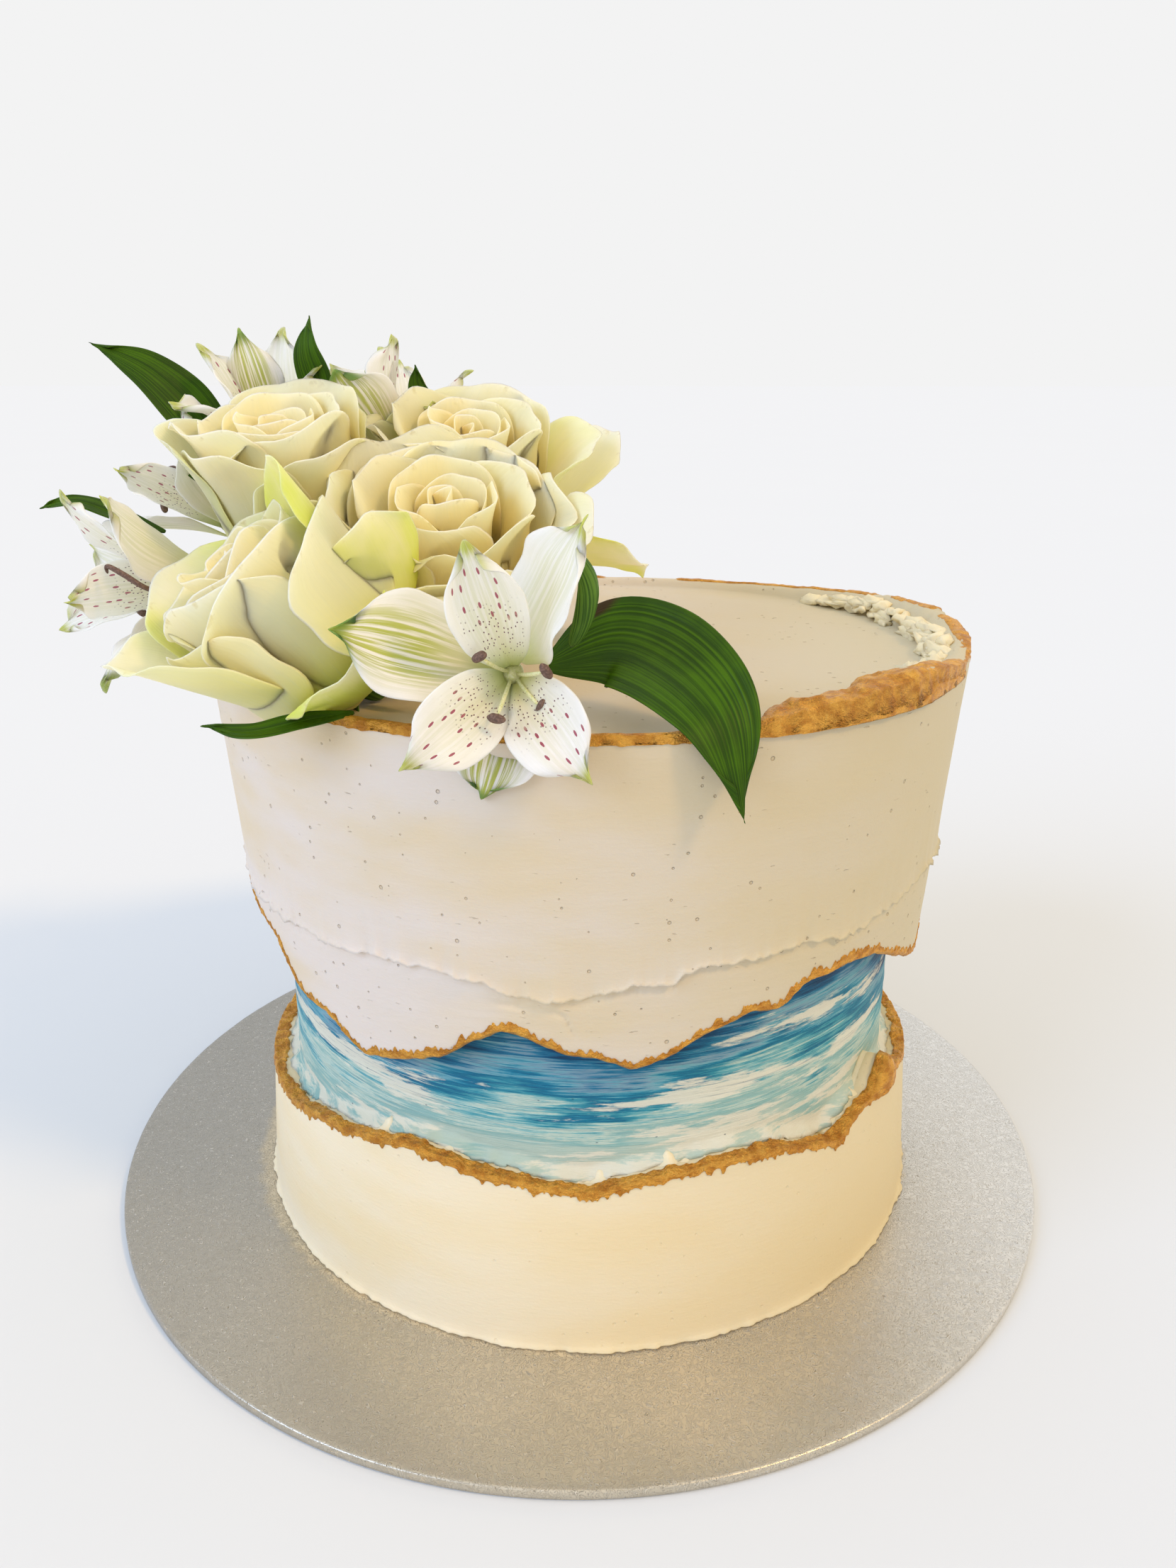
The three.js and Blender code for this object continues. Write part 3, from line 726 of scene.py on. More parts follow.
@dataclass(frozen=True)
class EmbossedFoil(Finish):
    """Silver foil pressed on card: a dull mirror covered in small curled grooves, with a smear of icing.

    Painted values: "smear" for icing near the cake, "frost" for a painted warm reflection on the front.
    """

    silver: str = "#ccc6ba"

    def fill(self, mix: Recipe) -> None:
        """Presses the grooves and smears icing and film on them."""
        # Grooves are about 0.5 mm wide and 2 to 4 mm long; they show only as a fine shimmer.
        warp = mix.cloud((0.45, 0.45, 0.45), distortion=1.6)
        lines = mix.maths("SINE", mix.times(warp, 42.0))
        grooves = mix.step(lines, 0.35, 0.9)
        film = mix.cloud((0.03, 0.03, 0.03), 3.0)
        ragged_film = mix.cloud((0.25, 0.25, 0.25), 4.0)
        smear = mix.swung(ragged_film, 0.5, mix.painted("smear"))
        smear = mix.step(smear, 0.4, 0.75)
        # Painted warm reflection on the board's front, laid together with the real icing smear near the cake.
        frost = mix.times(mix.painted("frost"), 0.45, mix.times(smear, 0.55), clamped=True)
        colour = mix.blend(mix.step(film, 0.35, 0.7), self.silver, "#bcb9b0")
        # Painted reflection: the foil is coloured darker towards the left and brighter towards the right, a painted
        # highlight.
        across = mix.across()
        colour = mix.blend(mix.step(across, 40.0, -120.0), colour, "#a5a49f")
        colour = mix.blend(mix.step(across, 50.0, 125.0), colour, "#efede8")
        # Painted glints: the grooves are coloured lighter.
        colour = mix.blend(grooves, colour, "#f4f1ea", 0.35)
        colour = mix.blend(frost, colour, "#d9c8a4")
        metallic = mix.times(frost, -0.8, 0.95)
        mix.clad(colour, grooves, 1.0, 0.0009)
        mix.give({"Metallic": metallic})


@dataclass(frozen=True)
class RosePetal(Finish):
    """A white rose's petal: waxy and thin, so light comes through; butter yellow at its foot, green outside.

    Painted values: "warm" for the heart's yellow, "green" for the guard petals, "out" from 0 at the petal's
    foot to 1 at its lip, "side" from 0 on its middle line to 1 at its edges.
    """

    def fill(self, mix: Recipe) -> None:
        """Tints the petal from its foot to its lip and lays veins on it."""
        warm, green, out, side = (mix.painted(name) for name in ("warm", "green", "out", "side"))
        foot = mix.maths("SUBTRACT", 1.0, out)
        yellow = mix.times(foot, 0.8, mix.times(warm, 0.5), clamped=True)
        colour = mix.blend(yellow, "#fff3c4", "#ffe183")
        low = mix.step(out, 0.7, 0.2)
        colour = mix.blend(low, colour, "#f2da62", 0.5)
        blotch = mix.cloud((0.05, 0.05, 0.05), 3.0)
        # Green is strongest at the foot, along the edges and in soft blotches.
        rim = mix.times(side, side)
        tint = mix.times(rim, 0.45, mix.times(foot, 0.35, blotch))
        tint = mix.times(green, mix.step(tint, 0.25, 0.95), clamped=True)
        colour = mix.blend(tint, colour, "#c9d64f")
        # Tired brown at a few points of the lip.
        worn = mix.cloud((0.35, 0.35, 0.35), 3.0)
        lip = mix.times(mix.step(out, 0.93, 1.0), mix.step(worn, 0.58, 0.72))
        colour = mix.blend(lip, colour, "#b79a55", 0.55)
        # Veins fan up the petal about a millimetre apart.
        veins = mix.veins((34.0, 2.2, 1.0), 3.0)
        colour = mix.blend(mix.step(veins, 0.5, 0.75), colour, "#e6e0b0", 0.12)
        mix.clad(colour, veins, 0.25, 0.0004)
        mix.soften(0.8, (0.0028, 0.0026, 0.0022), 1.0)


@dataclass(frozen=True)
class LilyTepal(Finish):
    """An alstroemeria's tepal: white and thin, with green tips, maroon dashes and fine dark dots.

    Painted values: "inner" is 1 on the spotted tepals, "green" for streaks and tips, "out" and "side" as on a rose.
    """

    def fill(self, mix: Recipe) -> None:
        """Streaks and tips the tepal with green and puts its marks on."""
        inner, green, out, side = (mix.painted(name) for name in ("inner", "green", "out", "side"))
        colour = "#f6f1e2"
        foot, middle = mix.step(out, 0.4, 0.05), mix.maths("SUBTRACT", 1.0, side)
        cream = mix.times(middle, mix.step(out, 0.95, 0.3))
        colour = mix.blend(cream, colour, "#e6d9a0", 0.55)
        colour = mix.blend(foot, colour, "#bdc860", 0.8)
        veins = mix.veins((26.0, 1.6, 1.0), 3.0, 0.6)
        # Green runs up the middle in streaks and fills the tip.
        streak = mix.times(mix.step(veins, 0.34, 0.6), mix.step(middle, 0.0, 0.7))
        streak = mix.times(streak, mix.step(out, 0.1, 0.6))
        tip = mix.step(mix.times(middle, 0.05, out), 0.92, 1.02)
        amount = mix.times(streak, green, mix.times(tip, 0.9), clamped=True)
        colour = mix.blend(amount, colour, "#a2a93a")
        dark = mix.times(mix.step(out, 0.88, 0.98), mix.step(green, 0.45, 0.9))
        colour = mix.blend(dark, colour, "#3f6a1a")
        # Dashes 2 to 3 mm long and 0.7 mm wide on the outer half of the spotted tepals, dots towards the throat.
        for scale, reach, share, low, high, shade in (
            ((10.5, 8.0, 1.0), 0.17, 0.5, (0.42, 0.56), (0.97, 0.9), "#8c2f45"),
            ((19.0, 26.0, 1.0), 0.16, 0.45, (0.16, 0.26), (0.7, 0.5), "#4a1c2c"),
        ):
            away, chosen = mix.cells(mix.grown(scale), {"voronoi_dimensions": "2D"}, 0.9)
            here = mix.times(mix.step(out, *low), mix.step(out, *high))
            for limit in (mix.step(side, 0.86, 0.7), inner, mix.maths("GREATER_THAN", chosen, share)):
                here = mix.times(here, limit)
            colour = mix.blend(mix.times(mix.maths("LESS_THAN", away, reach), here), colour, shade)
        mix.clad(colour, veins, 0.3, 0.0004)
        mix.soften(0.6, (0.006, 0.006, 0.005), 0.6)


@dataclass(frozen=True)
class Leafage(Finish):
    """A leaf or stalk: deep green and softly waxed, with veins that run its whole length."""

    deep: str = "#274300"
    light: str = "#426600"

    def fill(self, mix: Recipe) -> None:
        """Draws the veins and scorches the leaf."""
        # Veins half a millimetre apart.
        veins = mix.veins((34.0, 0.9, 1.0), 2.0, 0.45)
        blotch = mix.cloud((0.09, 0.09, 0.09), 4.0)
        tone = mix.times(veins, 0.6, mix.times(blotch, 0.4))
        colour = mix.blend(mix.step(tone, 0.38, 0.66), self.deep, self.light)
        scorch = mix.step(mix.times(blotch, 0.5, mix.painted("scorch")), 0.6, 0.9)
        colour = mix.blend(scorch, colour, "#3a2c14")
        mix.clad(colour, veins, 0.4, 0.0006)
        mix.soften(0.08, (0.001, 0.003, 0.0005))
        mix.give({"Specular IOR Level": 0.14})


@dataclass(frozen=True)
class Pollen(Finish):
    """An anther or a filament: dull, with a dusting of grains a few tenths of a millimetre wide."""

    colour: str
    dust: str

    def fill(self, mix: Recipe) -> None:
        """Dusts the surface with grains."""
        grains = mix.cloud((2.5, 2.5, 2.5), 3.0)
        colour = mix.blend(mix.step(grains, 0.4, 0.65), self.colour, self.dust)
        mix.clad(colour, grains, 0.5, 0.0002)


@dataclass(frozen=True)
class Palette:
    """The cake's finishes, made once."""

    wall: bpy.types.Material
    smooth_wall: bpy.types.Material
    crumb: bpy.types.Material
    marble: bpy.types.Material
    gold: bpy.types.Material
    foil: bpy.types.Material
    rose: bpy.types.Material
    tepal: bpy.types.Material
    leaf: bpy.types.Material
    stalk: bpy.types.Material
    anther: bpy.types.Material
    filament: bpy.types.Material

    @classmethod
    def mixed(cls) -> "Palette":
        """All finishes, ready to use."""
        return cls(
            wall=Buttercream("Buttercream_scraped", 0.62).make(),
            smooth_wall=Buttercream("Buttercream_smooth", 0.58, "#eedebd", "#edd7aa", 0.12, "#d8c79c").make(),
            crumb=Buttercream("Buttercream_torn", 0.7, "#f0e3c4", "#e6d4a2", 0.0, "#ecdcb2").make(),
            marble=MarbledButtercream("Buttercream_marbled_blue", 0.5).make(),
            gold=GoldPaint("Gold_paint_edible", 0.36).make(),
            foil=EmbossedFoil("Silver_foil_embossed", 0.34).make(),
            rose=RosePetal("Rose_petal_white", 0.55).make(),
            tepal=LilyTepal("Alstroemeria_tepal_white", 0.5).make(),
            leaf=Leafage("Alstroemeria_leaf", 0.42).make(),
            stalk=Leafage("Flower_stalk", 0.5, "#35561b", "#5f8430").make(),
            anther=Pollen("Anther", 0.75, "#5b4438", "#7b5f50").make(),
            filament=Pollen("Filament", 0.5, "#e3dfb4", "#cfd08a").make(),
        )


# ---------------------------------------------------------------- petals


@dataclass(frozen=True)
class Outline:
    """How wide a blade is along its length, as shares of its full half width."""

    base: float
    widest: float
    power: float
    blunt: float

    def at(self, out: float) -> float:
        """The share at a place from 0 at the base to 1 at the tip."""
        if out < self.widest:
            return lerp(self.base, 1, math.sin(math.pi / 2 * out / self.widest))
        past = (out - self.widest) / (1 - self.widest)
        return max(self.blunt, max(0.0, 1 - past**self.power) ** (1 / self.power))


ROSE_OUTLINE = Outline(0.32, 0.66, 4.0, 0.78)
TEPAL_OUTLINE = Outline(0.14, 0.64, 2.0, 0.16)
LEAF_OUTLINE = Outline(0.16, 0.45, 1.35, 0.03)


@dataclass(frozen=True)
class Station:
    """A place on a blade's middle line, with the directions across it and out of its upper side."""

    point: Vector
    side: Vector
    normal: Vector

    def toward(self, other: "Station", share: float) -> "Station":
        """The station part of the way to another."""
        return Station(*(a.lerp(b, share) for a, b in zip(
            (self.point, self.side, self.normal), (other.point, other.side, other.normal))))


@dataclass
class Spine:
    """A blade's middle line."""

    stations: list[Station]

    @classmethod
    def leaning(cls, length: float, lean: Sequence[float], base: Sequence[float], late: float = 1.6) -> "Spine":
        """A line that leans out from the flower's axis.

        Args:
            length: its length.
            lean: degrees away from the axis at the base, the middle and the tip.
            base: where it starts.
            late: above 1, most of the outward curl is kept for the tip.

        Returns:
            The spine.
        """
        steps = 40

        def angle(out: float) -> float:
            """The lean in radians at a place along the line."""
            if out < 0.5:
                return math.radians(lerp(lean[0], lean[1], smooth(out, 0, 0.5)))
            return math.radians(lerp(lean[1], lean[2], (2 * out - 1) ** late))

        point, stations = Vector(base), []
        for step in range(steps + 1):
            a = angle(step / steps)
            stations.append(Station(point.copy(), Vector((0, -1, 0)), Vector((-math.cos(a), 0, math.sin(a)))))
            ahead = angle((step + 0.5) / steps)
            point += Vector((math.sin(ahead), 0, math.cos(ahead))) * (length / steps)
        return cls(stations)

    @classmethod
    def routed(cls, route: Sequence[Sequence[float]], face: Sequence[float]) -> "Spine":
        """A line through the route's points, with its upper side turned to face.

        Args:
            route: points from the stalk to the tip.
            face: direction of the upper side.

        Returns:
            The spine.
        """
        points = [Vector(p) for p in route]
        points = [2 * points[0] - points[1], *points, 2 * points[-1] - points[-2]]
        line: list[Vector] = []
        for a, b, c, d in zip(points, points[1:], points[2:], points[3:]):
            for step in range(14):
                t = step / 14
                bend, twist = 2 * a - 5 * b + 4 * c - d, 3 * b - a - 3 * c + d
                line.append(0.5 * (2 * b + (c - a) * t + bend * t * t + twist * t**3))
        line.append(points[-2])
        stations = []
        for i, point in enumerate(line):
            ahead = (line[min(i + 1, len(line) - 1)] - line[max(i - 1, 0)]).normalized()
            side = ahead.cross(Vector(face)).normalized()
            stations.append(Station(point, side, side.cross(ahead)))
        return cls(stations)

    def at(self, out: float) -> Station:
        """The station at a share of the way along."""
        place = clamp(out) * (len(self.stations) - 1)
        index = min(int(place), len(self.stations) - 2)
        return self.stations[index].toward(self.stations[index + 1], place - index)


@dataclass(frozen=True)
class Blade:
    """A thin petal, tepal or leaf.

    Attributes:
        spine: its middle line.
        width: its full width.
        outline: how the width changes along it.
        cup: half the angle of the arc across it, in degrees at the base and at the tip.
        wave: height of its slow frill.
        ripple: height of the short waves in its edges.
        roll: how far its edges roll back.
        crease: depth of the fold along its middle.
        spiral: how much further out one edge lies than the other.
        point: how far the middle of the tip stands out, as a share of the length.
        phase: picks the waves.
        twist: degrees that it is turned about its own middle line by its tip.
        thickness: of the finished blade.
    """

    spine: Spine
    width: float
    outline: Outline
    cup: tuple[float, float]
    wave: float = 1.0
    ripple: float = 0.0
    roll: float = 0.0
    crease: float = 0.0
    spiral: float = 0.0
    point: float = 0.0
    phase: float = 0.0
    twist: float = 0.0
    thickness: float = 0.5

    def place(self, across: float, out: float) -> Vector:
        """The point at shares of the way across and along."""
        v = 2 * across - 1
        frill = 0.016 * self.ripple * math.sin(6.5 * v + 3 * self.phase)
        drop = (0.11 * v * v - self.point * bell(v, 0, 0.3) + frill) * out**5
        station = self.spine.at(out - max(drop, 0))
        half = self.width / 2 * self.outline.at(out)
        bend = math.radians(lerp(self.cup[0], self.cup[1], out))
        curve = max(1e-3, abs(bend)) / (self.width / 2)
        aside = math.sin(v * half * curve) / curve
        lift = math.copysign(1, bend) * (1 - math.cos(v * half * curve)) / curve
        lift += self.wave * out * v * v * math.sin(self.phase + 5 * out + 2 * v)
        lift += self.ripple * v**4 * out * math.sin(23 * out + self.phase + 2 * v)
        frill = 1.2 * math.sin(6.4 * v + 2 * self.phase) + 0.5 * math.sin(15 * v - self.phase)
        lift += self.ripple * smooth(out, 0.7, 1) * frill
        lift -= self.roll * smooth(abs(v), 0.55, 1) ** 2 * smooth(out, 0.25, 0.8)
        lift -= self.crease * bell(v, 0, 0.12) * math.sin(math.pi * min(1, out * 1.1))
        lift -= self.spiral * v
        ahead = station.normal.cross(station.side) * (-min(drop, 0) * 40)
        turn = math.radians(self.twist) * smooth(out, 0, 0.6)
        side = station.side * math.cos(turn) + station.normal * math.sin(turn)
        normal = station.normal * math.cos(turn) - station.side * math.sin(turn)
        return station.point + side * aside + normal * lift + ahead

    def lay(self, form: Form, turn: Matrix, quads: tuple[int, int], paint: dict[str, float], coat: int = 0) -> None:
        """Adds the blade to a form as a closed thin solid.

        Args:
            form: the piece being made.
            turn: puts the blade in its flower and the flower in its place.
            quads: how many across and along.
            paint: values that are the same all over it.
            coat: index of the material.
        """
        def painted(across: float, out: float) -> dict[str, float]:
            """The values to paint at a point."""
            own = {"out": out, "side": abs(2 * across - 1)}
            return {name: value for name, value in {**own, **paint}.items() if name in form.layers}

        sheet = form.grid(*quads, lambda across, out: turn @ self.place(across, out), painted, coat)
        form.slab(sheet, self.thickness)


def stance(at: Sequence[float], axis: Sequence[float], turn: float = 0.0) -> Matrix:
    """How a flower that opens along +Z is turned and placed.

    Args:
        at: its foot.
        axis: where it opens to.
        turn: degrees about its own axis.

    Returns:
        The transform.
    """
    return Matrix.Translation(Vector(at)) @ aimed(axis) @ spun(turn)


# ---------------------------------------------------------------- board, cake and icing


@dataclass(frozen=True)
class Board:
    """The round card board in its turned foil edge."""

    radius: float = 127.0
    thickness: float = 2.8
    edge: float = 0.6

    def build(self, palette: Palette) -> None:
        """Spins the board's profile and paints where icing is smeared on it."""
        form = Form("board_foil", ("smear", "frost"))
        radii = [*range(0, 120, 8), 117, 120, 123, 125, self.radius - self.edge]
        line = [(radius, self.thickness) for radius in radii]
        line += [(self.radius - 0.15, self.thickness - 0.18), (self.radius, self.thickness - self.edge)]
        line += [(self.radius, self.edge), (self.radius - self.edge, 0), (60, 0), (0, 0)]
        verts = [form.mesh.verts.new((radius, 0, height)) for radius, height in line]
        edges = [form.mesh.edges.new(pair) for pair in zip(verts, verts[1:])]
        about = {"axis": (0, 0, 1), "cent": (0, 0, 0), "angle": math.tau}
        bmesh.ops.spin(form.mesh, geom=[*verts, *edges], steps=240, use_merge=True, **about)
        for vert in form.mesh.verts:
            away = math.hypot(vert.co.x - CENTRE[0], vert.co.y - CENTRE[1])
            turn = math.degrees(math.atan2(vert.co.x, -vert.co.y))
            end = 94 + 3 * round_about(turn, 30, 1.7) + 5 * bell(turn, -70, 25)
            vert[form.layers["smear"]] = smooth(away, end, 89)
            # A painted warm reflection, strongest on the board's front.
            vert[form.layers["frost"]] = bell(turn, 5, 62)
            if vert.co.z > self.thickness - 0.1 and away > 95:
                vert.co.z -= 0.12 + 0.12 * fuzz(vert.co.x / 26, vert.co.y / 26)
            elif vert.co.z > self.thickness - 0.3:
                vert.co.z -= 0.08 * (1 + round_about(turn, 2.5, 0.4))
        form.dress(list(form.mesh.verts), 0)
        form.finish([palette.foil], Slot.FOIL, ["board"])


@dataclass(frozen=True)
class CakeBody:
    """The cake between the tiers, with the marbled blue band that shows in the gap."""

    top: float = 139.6
    rows: int = 84

    def relief(self, angle: float, height: float, level: float) -> float:
        """How far the knife's streaks stand out of the wall."""
        shown = smooth(level, -0.1, 0.02) * smooth(level, 1.04, 0.94)
        streak = around(angle, 2.2, height * 0.55)
        broad = round_about(angle, 24, 5.1, height)
        return shown * (0.16 * streak + 0.3 * broad + 0.07 * round_about(angle, 3, 2.2, height * 4))

    def profile(self, angle: float) -> list[Spot]:
        """The body's profile at an angle."""
        low, high = along(LOWER_EDGE, angle) + GOLD_DROP, along(UPPER_EDGE, angle)
        ledge = LowerTier().edge(angle)
        spread = 2.9 + lumps(angle, (1.0, 8, 3.7), (0.6, 2.2, 1.9))
        line = [Spot(0, FOOT, {"level": 0}), Spot(CORE, FOOT, {"level": 0})]
        for row in range(self.rows + 1):
            height = lerp(low - 6, high + 4, row / self.rows)
            level = (height - low) / (high - low)
            pulled = spread * clamp((ledge + 2.6 - height) / 2.5) ** 1.8 if height > ledge - 0.2 else 0.0
            line.append(Spot(CORE + pulled + self.relief(angle, height, level), height, {"level": level}))
        return [*line, Spot(CORE, self.top, {"level": 1}), Spot(0, self.top, {"level": 1})]

    def build(self, palette: Palette) -> None:
        """Makes the body."""
        turn_piece("blue_band", 720, self.profile, palette.marble, Slot.BLUE_ICING, ["cake_core"], ("level",))


@dataclass(frozen=True)
class UpperTier:
    """The upper tier's icing: top, rim, torn collar at the right back, and the wall down to the torn edge."""

    top: float = 144.6
    under: float = 139.9
    rim_radius: float = 93.05
    rim_z: float = 147.0
    shoulder: float = 145.5
    waist_radius: float = 86.5
    waist_z: float = 67.0
    crumbs: int = 72

    def radius(self, height: float) -> float:
        """The outer radius, which tapers down to the waist."""
        down = clamp((self.rim_z - height) / (self.rim_z - self.waist_z), 0, 1.1)
        return lerp(self.rim_radius, self.waist_radius, down)

    def edge(self, angle: float) -> float:
        """Height of the torn lower edge."""
        return along(UPPER_EDGE, angle) + 0.5 * ragged(angle, 1) + lumps(angle, (0.5, 5, 1.3), (0.25, 1.6, 2.9))

    def lip(self, angle: float, edge: float) -> float:
        """The radius of the torn edge's lip."""
        return self.radius(edge) + 0.15 * round_about(angle, 3, 6.6)

    def ridge(self, angle: float) -> float:
        """Height of the overlap across the wall."""
        return along(RIDGE, angle, 0.4) + lumps(angle, (0.8, 6, 8.1), (1.0, 1.7, 4.4), (0.7, 0.8, 2.2))

    def rim(self, angle: float) -> tuple[float, float, float]:
        """The rim's height, the radius of its inner foot, and its share of the collar."""
        top, foot = along(RIM_TOP, angle, 1.5), along(RIM_FOOT, angle, 1.5)
        collar = (top - self.rim_z) / 5
        top += collar * (0.5 * ragged(angle, 2) + lumps(angle, (0.8, 6, 7.7), (0.4, 2, 3.1)))
        top += 0.15 * round_about(angle, 5, 9.2)
        foot += collar * (1.2 * ragged(angle, 3) + 1.2 * round_about(angle, 5, 6.3))
        return top, foot, collar

    def relief(self, angle: float, height: float) -> float:
        """How far the scraped wall swells and dips."""
        swell = 0.28 * round_about(angle, 55, 1.1, height) + 0.12 * round_about(angle, 18, 2.3, height * 1.6)
        return swell + 0.05 * around(angle, 3, height * 0.9)

    def wall(self, angle: float, height: float, ridge: float) -> float:
        """The wall's radius, with the last stroke of icing standing proud above the ridge."""
        proud = 0.0
        above = height - ridge
        if above > 0:
            torn = clamp(0.6 + lumps(angle, (0.5, 9, 3.3), (0.5, 2.6, 6.9)), 0, 1.3)
            proud = torn * (0.8 * math.exp(-above / 8) + 1.3 * math.exp(-above / 0.6))
        scar = -0.5 * bell(above, -1.2, 1.0) * (0.5 + 0.7 * round_about(angle, 4, 5.5))
        crack = height - along(CRACK, angle, 0.4)
        scar -= 0.4 * bell(crack, 0, 0.7) * smooth(angle, -14, -11) * smooth(angle, -1.5, -3)
        return self.radius(height) + self.relief(angle, height) + proud + scar

    def profile(self, angle: float) -> list[Spot]:
        """The icing's profile at an angle: under the cap, round the lip, up the wall and over the top."""
        edge, ridge = self.edge(angle), self.ridge(angle)
        rim, foot, collar = self.rim(angle)
        lip = self.lip(angle, edge)
        line = [Spot(0, self.under), Spot(ICING_CORE, self.under), Spot(ICING_CORE, edge + 2.2)]
        line += [Spot(ICING_CORE + 1.6, edge + 1.1), Spot(self.radius(edge) - 2.2, edge + 0.35)]
        line += [Spot(lip - 0.8, edge), Spot(lip - 0.1, edge + 0.5)]
        for row in range(1, 27):
            height = lerp(edge + 0.5, ridge - 0.12, row / 26)
            line.append(Spot(self.wall(angle, height, ridge), height))
        for row in range(44):
            height = lerp(ridge + 0.12, self.shoulder, (row / 43) ** 1.25)
            line.append(Spot(self.wall(angle, height, ridge), height))
        outer = self.wall(angle, self.shoulder, ridge)
        for inward, up in RIM_ARC:
            rough = round_about(angle, 3.2, 1.9, 30 * inward) + 0.8 * round_about(angle, 7, 2.6, 12 * inward)
            rough *= 0.5 * clamp(collar)
            base = lerp(self.shoulder, self.top, smooth(inward, 0.1, 0.7))
            line.append(Spot(lerp(outer, foot, inward) + rough, base + (rim - base) * up + rough))
        for row in range(1, 13):
            radius = lerp(foot, 0, (row / 12) ** 0.8)
            line.append(Spot(radius, self.top + 0.14 * around(angle, radius / 30, 4.0)))
        return line

    def build(self, palette: Palette) -> None:
        """Makes the icing, its gold and the crumbs of the torn collar."""
        turn_piece("upper_tier_icing", 960, self.profile, palette.wall, replaces=["upper_icing"])
        self.build_edge_gold(palette)
        self.build_rim_gold(palette)
        self.build_crumbs(palette)

    def build_edge_gold(self, palette: Palette) -> None:
        """Brushes gold on the torn lower edge, round the lip and up the wall to a ragged border."""
        def profile(angle: float) -> list[Spot]:
            """A closed skin over the lip."""
            edge, ridge = self.edge(angle), self.ridge(angle)
            reach = max(0.9, 2.0 + lumps(angle, (1.3, 11, 7.3), (1.3, 2.2, 5.8), (1.5, 0.7, 3.9)))
            line = []
            for row in range(9):
                height = edge + lerp(reach, 0.55, row / 8)
                thick = 0.24 + lumps(angle, (0.24, 2.2, 8.4), (0.2, 1, 1.4), height=height * 2)
                thick = TUCK if row == 0 else max(THIN_GOLD, thick)
                line.append(Spot(self.wall(angle, height, ridge) + thick, height))
            swell = 0.25 + 0.2 * round_about(angle, 2.6, 4.2)
            line.append(Spot(self.lip(angle, edge) - 0.7 + swell, edge - swell))
            line.append(Spot(self.radius(edge) - 2.2, edge + 0.2 - swell))
            line += [Spot(ICING_CORE + 1.4, edge + 0.95 - 0.5 * swell), Spot(ICING_CORE + 0.9, edge + 2.0)]
            line += [Spot(self.radius(edge) - 1.8, edge + 1.4), Spot(line[0].radius - 0.3, line[0].height - 0.2)]
            return [*line, line[0]]

        turn_piece("upper_edge_gold", 1800, profile, palette.gold)

    def build_rim_gold(self, palette: Palette) -> None:
        """Brushes gold over the rim, with thick lumps at the right front."""
        def profile(angle: float) -> list[Spot]:
            """A closed skin over the rim."""
            ridge = self.ridge(angle)
            rim, foot, _ = self.rim(angle)
            outer = self.wall(angle, self.shoulder, ridge)
            reach = along(RIM_GOLD, angle, 1.0)
            reach += (0.3 + 0.16 * reach) * lumps(angle, (1.0, 5, 2.8), (0.9, 1.5, 6.1))
            reach = max(reach, 0.7)
            blob = smooth(angle, 18, 26) * smooth(angle, 56, 46)
            inner = lerp(0.62, 0.5, smooth(angle, 46, 56) * smooth(angle, 160, 140))
            inner = lerp(inner, 0.97, blob)
            bare = smooth(round_about(angle, 14, 4.9), 0.05, 0.3) * (1 - blob) * smooth(abs(angle - 5), 30, 60)
            line = []
            for row in range(8):
                height = lerp(rim - 0.4 - reach, self.rim_z - 1.6, row / 7)
                thick = 0.3 + 0.9 * blob * smooth(row, 0, 4) + 0.25 * round_about(angle, 2.2, 5.2, 2 * height)
                thick = -0.4 if row == 0 else max(0.1, thick) - 0.5 * bare
                line.append(Spot(self.wall(angle, height, ridge) + thick, height))
            for row in range(9):
                inward = inner * row / 8
                up = 1 - 0.55 * (abs(inward - 0.25) / 0.75) ** 1.6
                base = lerp(self.shoulder, self.top, smooth(inward, 0.1, 0.7))
                heap = 0.9 + 2.2 * round_about(angle, 6, 3.6, 12 * inward)
                heap += 1.1 * round_about(angle, 2.2, 8.8, 20 * inward)
                thick = 0.34 + 0.2 * round_about(angle, 2, 7.5, 20 * inward) + 0.7 * blob * heap
                thick = (-0.5 if row == 8 else thick) - 0.6 * bare
                away = lerp(outer, foot, inward) + 0.4 * thick * (1 - 2 * inward)
                line.append(Spot(away, base + (rim - base) * up + thick))
            line.append(Spot(lerp(outer, foot, 0.4), self.rim_z - 1.4))
            line.append(Spot(outer - 1.0, line[0].height))
            return [*line, line[0]]

        turn_piece("rim_gold", 1100, profile, palette.gold)

    def build_crumbs(self, palette: Palette) -> None:
        """Breaks crumbs of icing off the collar's inner side."""
        form = Form("collar_crumbs")
        chance = random.Random(7)
        for crumb in range(self.crumbs):
            angle = chance.uniform(54, 132)
            rim, foot, _ = self.rim(angle)
            share = chance.random()
            at = on_cake(angle, foot - 1.4 + 2.6 * share, lerp(self.top + 0.4, rim - 1.4, share))
            size = Vector((chance.uniform(2.6, 6.4), chance.uniform(1.4, 2.8), chance.uniform(0.8, 2.0)))
            lie = Matrix.Rotation(math.radians(angle) + chance.uniform(-0.5, 0.5), 4, "Z")
            lie = lie @ Matrix.Rotation(chance.uniform(-0.4, 0.4), 4, "X")
            form.lump(at, size, 0.9, crumb * 3.1, lie)
        form.finish([palette.crumb], Slot.ICING)


